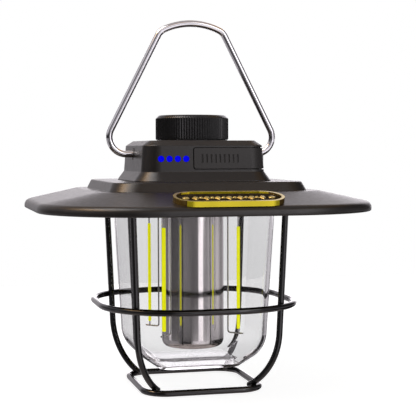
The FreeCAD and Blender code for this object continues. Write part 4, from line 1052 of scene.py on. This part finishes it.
class LANTERN_OT_lamp(bpy.types.Operator):
    """Model the steel tube and the four light filaments"""
    bl_idname = "lantern.lamp"
    bl_label = "Tube and filaments"

    def execute(self, context):
        s = context.scene.lantern_lamp
        flange_low = TUBE_HIGH - s.tube_flange_height
        inner, inner_low = s.tube - s.tube_wall, TUBE_LOW + s.tube_wall
        rows = [
            (TUBE_LOW, s.tube * TUBE_HOLE, 0, 0),
            (TUBE_LOW, s.tube, 0, s.tube_round),
            (flange_low, s.tube, 0, 0),
            (flange_low, s.tube_flange, 0, 0),
            (TUBE_HIGH, s.tube_flange, 0, 0),
            (TUBE_HIGH, inner, 0, 0),
            (inner_low, inner, 0, s.tube_round - s.tube_wall),
            (inner_low, s.tube * TUBE_HOLE, 0, 0),
        ]
        tube = skin("polished_tube", [(z, r, r) for z, r, _ in softened(rows, 8)], 32, closed=False)
        hand_over(smooth(tube, 40), "tube_steel", "lantern", "battery_tube")
        deep, wide = s.filament_depth / 2, s.filament_width / 2
        strip = block((s.filament_reach - deep, -wide, FILAMENT_LOW),
                      (s.filament_reach + deep, wide, FILAMENT_HIGH), STRIP_EDGE)
        at_corners(smooth(strip, 40), "filament", "filament", "strip")
        return {"FINISHED"}


FULL_END = 0.4995  # share of the plate's depth that its round ends take
PLATE_EDGE = 0.28 * MM
LOZENGES, BEAD_PITCH = 7, 4 * MM  # a bead lies between each two lozenges
LOZENGE_FOOT, LOZENGE_TOP, LOZENGE_HEIGHT = 1.75 * MM, 0.9 * MM, 0.55 * MM
LOZENGE_LIFT, LOZENGE_EDGE, LOZENGE_STRETCH = 0.25 * MM, 0.12 * MM, (0.8, 1.35, 1)
BEAD, BEAD_LIFT, BEAD_FLAT = 0.75 * MM, 0.02 * MM, 0.7
RIVET_SINK = 0.1 * MM
# The rim and round ends that these pick out get painted shade
FLAT, SLANTED, SIDEWAYS = 0.9, 0.5, 0.55  # parts of a face's normal that tell field, rim and round ends


class LANTERN_OT_nameplate(bpy.types.Operator):
    """Model the bare nameplate with a row of beads and lozenges, and its rivets"""
    bl_idname = "lantern.nameplate"
    bl_label = "Nameplate"

    def paint(self, piece, seat, ground):
        """Dark field; painted shade on the up-facing rim and round ends; the straight edges stay polished.
        """
        back = seat.inverted()
        for face in piece.data.polygons:
            normal = back.to_3x3() @ face.normal
            if normal.z > FLAT and (back @ face.center).z < ground:
                face.material_index = 1
            # Painted shade: faces that look up, the rim, get the darker brass copy
            elif normal.z > SLANTED:
                face.material_index = 2
            # Painted shade: faces that look sideways, the round ends, get the dark brown brass copy
            elif abs(normal.x) > SIDEWAYS:
                face.material_index = 3

    def execute(self, context):
        hat, s = context.scene.lantern_hat, context.scene.lantern_plate
        floor = s.height - s.sink
        run = hat.brim_half - hat.ledge_half
        ledge = LIP_BOTTOM + hat.lip + hat.slope
        height = ledge - (s.reach - hat.ledge_half) * hat.slope / run
        lean = Matrix.Rotation(math.atan2(hat.slope, run), 4, "X")
        seat = Matrix.Translation((0, -s.reach, height)) @ lean

        def lay(piece, *nodes, finishes):
            """Seat a piece on the brim's front slope and hand it over."""
            piece.matrix_world = seat
            hand_over(applied(piece), "brass", "lantern", *nodes, finishes=finishes)

        piece = empty_mesh("nameplate_bare")
        bpy.ops.mesh.primitive_plane_add(size=1)
        bpy.ops.transform.resize(value=(s.half * 2, s.depth, 1))
        bpy.ops.mesh.bevel(offset=s.depth * FULL_END, segments=20, affect="VERTICES", profile=0.5)
        extrude((0, 0, s.height))
        bpy.ops.mesh.inset(thickness=s.rim)
        extrude((0, 0, -s.sink))
        tidy(piece)
        bevelled(piece, PLATE_EDGE, 3, 50)
        lay(smooth(piece, 40), "nameplate", finishes=["brass", "field", "antique_and_painted_shade", "painted_end_shade"])
        self.paint(piece, seat, s.height - s.sink / 2)

        all_free()
        first = -BEAD_PITCH * (LOZENGES - 1) / 2
        bpy.ops.mesh.primitive_cone_add(vertices=4, radius1=LOZENGE_FOOT, radius2=LOZENGE_TOP,
                                        depth=LOZENGE_HEIGHT, location=(first, 0, floor + LOZENGE_LIFT))
        lozenge = bpy.context.object
        lozenge.scale = LOZENGE_STRETCH
        bevelled(applied(lozenge), LOZENGE_EDGE, 2)
        bead = dome(BEAD, (first + BEAD_PITCH / 2, 0, floor + BEAD_LIFT), BEAD_FLAT, 20, 12)
        relief = row(lozenge, LOZENGES, BEAD_PITCH) + row(bead, LOZENGES - 1, BEAD_PITCH)
        lay(smooth(joined("nameplate_relief", relief), 35), finishes=["antique_and_painted_shade"])

        head = dome(s.rivet, (-s.rivet_reach, 0, floor), s.rivet_height / s.rivet, 28, 14)
        keep_side(head, (0, 0, floor - RIVET_SINK), (0, 0, 1))
        heads = row(head, 2, s.rivet_reach * 2)
        lay(smooth(joined("nameplate_rivet_heads", heads), 40), "nameplate_rivets", finishes=["antique_and_painted_shade"])
        return {"FINISHED"}


# What reflections meet in the studio, in bands from below to above. A band has the two upward parts of the
# way between which it takes over, its tint, and its levels by the angle from the front towards the right,
# with the two ends first.
PLAIN, WARM = (1.0, 0.95, 1.0), (1.0, 0.6, 0.26)
BANDS = (
    (-0.6, -0.5, PLAIN, (
        (-180, 0.4), (180, 0.4), (-140, 0.42), (-72, 0.36), (-56, 0.04), (-20, 0.04), (-8, 1), (44, 1.1),
        (60, 0.2), (80, 0.02), (150, 0.02), (165, 0.3))),
    (-0.22, -0.13, PLAIN, (
        (-180, 0.5), (180, 0.6), (-146, 0.4), (-114, 0.25), (-110, 1.2), (-100.5, 1.2), (-98, 0.08),
        (-66, 0.13), (-52, 0.27), (-29, 0.25), (-14, 0.17), (3, 0.17), (7, 0.2), (9.5, 1.9), (24.5, 1.9),
        (27.5, 0.42), (53, 0.6), (91, 0.85), (120, 0.3), (145, 0.7))),
    (-0.07, -0.03, PLAIN, (
        (-180, 1.6), (180, 1.6), (-173, 0.6), (-160, 0.6), (-146, 0.16), (-122, 0.05), (-72, 0.02),
        (-28, 0.02), (-14, 0.2), (2, 0.2), (10, 0.1), (17, 0.12), (19, 2.7), (29, 2.7), (33, 0.3),
        (53, 0.3), (91, 0.35), (104, 0.2), (112, 0.06), (132, 0.06), (142, 0.5), (154, 3.3), (174, 3.3))),
    (0.05, 0.32, PLAIN, (
        (-180, 0.66), (180, 0.66), (-140, 0.4), (-112, 0.4), (-97, 0.75), (-62, 0.45), (-50, 0.16),
        (-22, 0.1), (-8, 0.9), (30, 1.1), (45, 0.5), (64, 0.42), (82, 0.15), (100, 0.06), (136, 0.06),
        (143, 1.5), (153, 1.5), (169, 0.62))),
    (0.6, 0.68, WARM, ((-180, 0.42), (180, 0.42), (-118, 0.42), (-106, 7.5), (-82, 7.5), (-70, 0.42))),
)
CEILING_BAND = (0.78, 0.9)
CEILING = (0.42, 0.4, 0.42, 1)
GROUND = (0.5, 0.44, 0.43, 1)
SOFT = (0.34, 0.34, 0.34, 1)  # what matt surfaces are lit by
WHITE = (1, 1, 1, 1)
FLOOR_SIZE, FLOOR_LIFT = 0.7, 0.86  # width of the floor, and its own light towards the eye
LAMPS = (  # name, place, power and tint
    ("key_light", (-0.45, -0.1, 0.95), 5.0, (1.0, 0.97, 0.96)),
    ("fill_light", (0.55, -0.8, 0.5), 1.3, (1, 1, 1)),
)
LAMP_SIZE, LAMP_AIM = 0.6, Vector((0, 0, 0.07))
CAMERA_PLACE = (-0.10631, -0.44609, 0.09163)
CAMERA_PITCH, CAMERA_HEADING, CAMERA_ROLL = -2.797, -14.178, -0.1404  # degrees
CAMERA_LENS, CAMERA_SENSOR, CAMERA_NEAR = 101.41, 36, 0.01


class LANTERN_OT_stage(bpy.types.Operator):
    """Set the floor, the studio lights, the white surroundings and the camera"""
    bl_idname = "lantern.stage"
    bl_label = "Stage"

    def rays(self, tree):
        """Whether a ray comes from the eye, straight or through the shade, and whether it was mirrored."""
        path = tree.add("ShaderNodeLightPath").outputs
        return (tree.math("MAXIMUM", path["Is Camera Ray"], path["Is Transmission Ray"]),
                tree.math("GREATER_THAN", path["Glossy Depth"], 0.5))

    def surroundings(self, scene):
        """White all round for the eye and through the shade; panels and dark gaps for reflections."""
        scene.world = bpy.data.worlds.new("white_studio")
        tree = Tree(scene.world)
        tree.nodes.clear()

        def blend(share, one, two):
            return tree.add("ShaderNodeMix", {0: share, 6: one, 7: two}, data_type="RGBA").outputs[2]

        def past(low, high):
            return tree.span(up, low, high, interpolation_type="SMOOTHSTEP")

        way = tree.add("ShaderNodeSeparateXYZ", {0: tree.add("ShaderNodeTexCoord").outputs["Generated"]})
        across, ahead, up = way.outputs
        angle = tree.math("ARCTAN2", across, tree.math("MULTIPLY", ahead, -1))
        around = tree.span(angle, -math.pi, math.pi)
        mirrored = GROUND
        for low, high, tint, levels in BANDS:
            stops = [((degrees + 180) / 360, [level * part for part in tint]) for degrees, level in levels]
            mirrored = blend(past(low, high), mirrored, tree.ramp(around, stops))
        mirrored = blend(past(*CEILING_BAND), mirrored, CEILING)
        seen, bounced = self.rays(tree)
        direct = tree.math("MULTIPLY", seen, tree.math("SUBTRACT", 1, bounced))
        shown = blend(direct, blend(bounced, SOFT, mirrored), WHITE)
        background = tree.add("ShaderNodeBackground", {"Color": shown})
        tree.add("ShaderNodeOutputWorld", {"Surface": background.outputs[0]})

    def floor(self, base):
        """A pale floor that shines towards the eye, and is clear from below and for reflections."""
        all_free()
        bpy.ops.mesh.primitive_plane_add(size=FLOOR_SIZE, location=(0, 0, 0))
        ground = named("studio_floor")
        material = bpy.data.materials.new("pale_floor")
        tree = Tree(material)
        shader = tree.nodes["Principled BSDF"]
        seen, bounced = self.rays(tree)
        tree.put(shader, {"Base Color": (*base, 1), "Roughness": 0.9, "Specular IOR Level": 0.1,
                          "Emission Color": WHITE,
                          "Emission Strength": tree.math("MULTIPLY", seen, FLOOR_LIFT)})
        below = tree.add("ShaderNodeNewGeometry").outputs["Backfacing"]
        clear = tree.add("ShaderNodeBsdfTransparent").outputs["BSDF"]
        mix = tree.add("ShaderNodeMixShader", {0: tree.math("MAXIMUM", bounced, below),
                                               1: shader.outputs["BSDF"], 2: clear})
        tree.put(tree.nodes["Material Output"], {"Surface": mix.outputs["Shader"]})
        ground.data.materials.append(material)

    def execute(self, context):
        scene = context.scene
        scene.view_settings.view_transform = "Standard"
        self.surroundings(scene)
        self.floor(scene.lantern_finishes.floor)
        for name, place, power, tint in LAMPS:
            all_free()
            bpy.ops.object.light_add(type="AREA", location=place)
            light = named(name)
            light.data.size = LAMP_SIZE
            light.data.energy = power
            light.data.color = tint
            light.rotation_euler = (LAMP_AIM - Vector(place)).to_track_quat("-Z", "Y").to_euler()
        all_free()
        bpy.ops.object.camera_add(location=CAMERA_PLACE)
        camera = named("photo_camera")
        camera.data.sensor_width = CAMERA_SENSOR
        camera.data.lens = CAMERA_LENS
        camera.data.clip_start = CAMERA_NEAR
        aim = Euler((math.radians(90 + CAMERA_PITCH), 0, math.radians(CAMERA_HEADING))).to_matrix()
        roll = Matrix.Rotation(math.radians(CAMERA_ROLL), 3, "Z")
        camera.rotation_euler = (aim @ roll).to_euler()
        scene.camera = camera
        return {"FINISHED"}


class LANTERN_PT_panel(bpy.types.Panel):
    """The lantern's steps in order, and the sizes and colours that they use"""
    bl_label = "Camp lantern"
    bl_idname = "LANTERN_PT_panel"
    bl_space_type = "VIEW_3D"
    bl_region_type = "UI"
    bl_category = "Lantern"

    def draw(self, context):
        for step in STEPS:
            self.layout.operator(step.bl_idname)
        for name, kind in GROUPS.items():
            column = self.layout.box().column()
            column.label(text=kind.__doc__)
            for key in kind.__annotations__:
                column.prop(getattr(context.scene, name), key)


STEPS = (LANTERN_OT_finishes, LANTERN_OT_hat, LANTERN_OT_box, LANTERN_OT_flap, LANTERN_OT_knob,
         LANTERN_OT_bail, LANTERN_OT_guard, LANTERN_OT_shade, LANTERN_OT_lamp, LANTERN_OT_nameplate,
         LANTERN_OT_stage)
GROUPS = {"lantern_hat": HatSizes, "lantern_box": BoxSizes, "lantern_knob": KnobSizes,
          "lantern_wires": WireSizes, "lantern_shade": ShadeSizes, "lantern_lamp": LampSizes,
          "lantern_plate": PlateSizes, "lantern_finishes": Finishes}


def register():
    for kind in (*GROUPS.values(), *STEPS, LANTERN_PT_panel):
        bpy.utils.register_class(kind)
    for name, kind in GROUPS.items():
        setattr(bpy.types.Scene, name, PointerProperty(type=kind))


def unregister():
    for name in GROUPS:
        delattr(bpy.types.Scene, name)
    for kind in (LANTERN_PT_panel, *reversed(STEPS), *reversed(GROUPS.values())):
        bpy.utils.unregister_class(kind)


def main():
    register()
    bpy.ops.lantern.finishes()
    bpy.ops.lantern.hat()
    bpy.ops.lantern.box()
    bpy.ops.lantern.flap()
    bpy.ops.lantern.knob()
    bpy.ops.lantern.bail()
    bpy.ops.lantern.guard()
    bpy.ops.lantern.shade()
    bpy.ops.lantern.lamp()
    bpy.ops.lantern.nameplate()
    bpy.ops.lantern.stage()


if __name__ == "__main__":
    main()
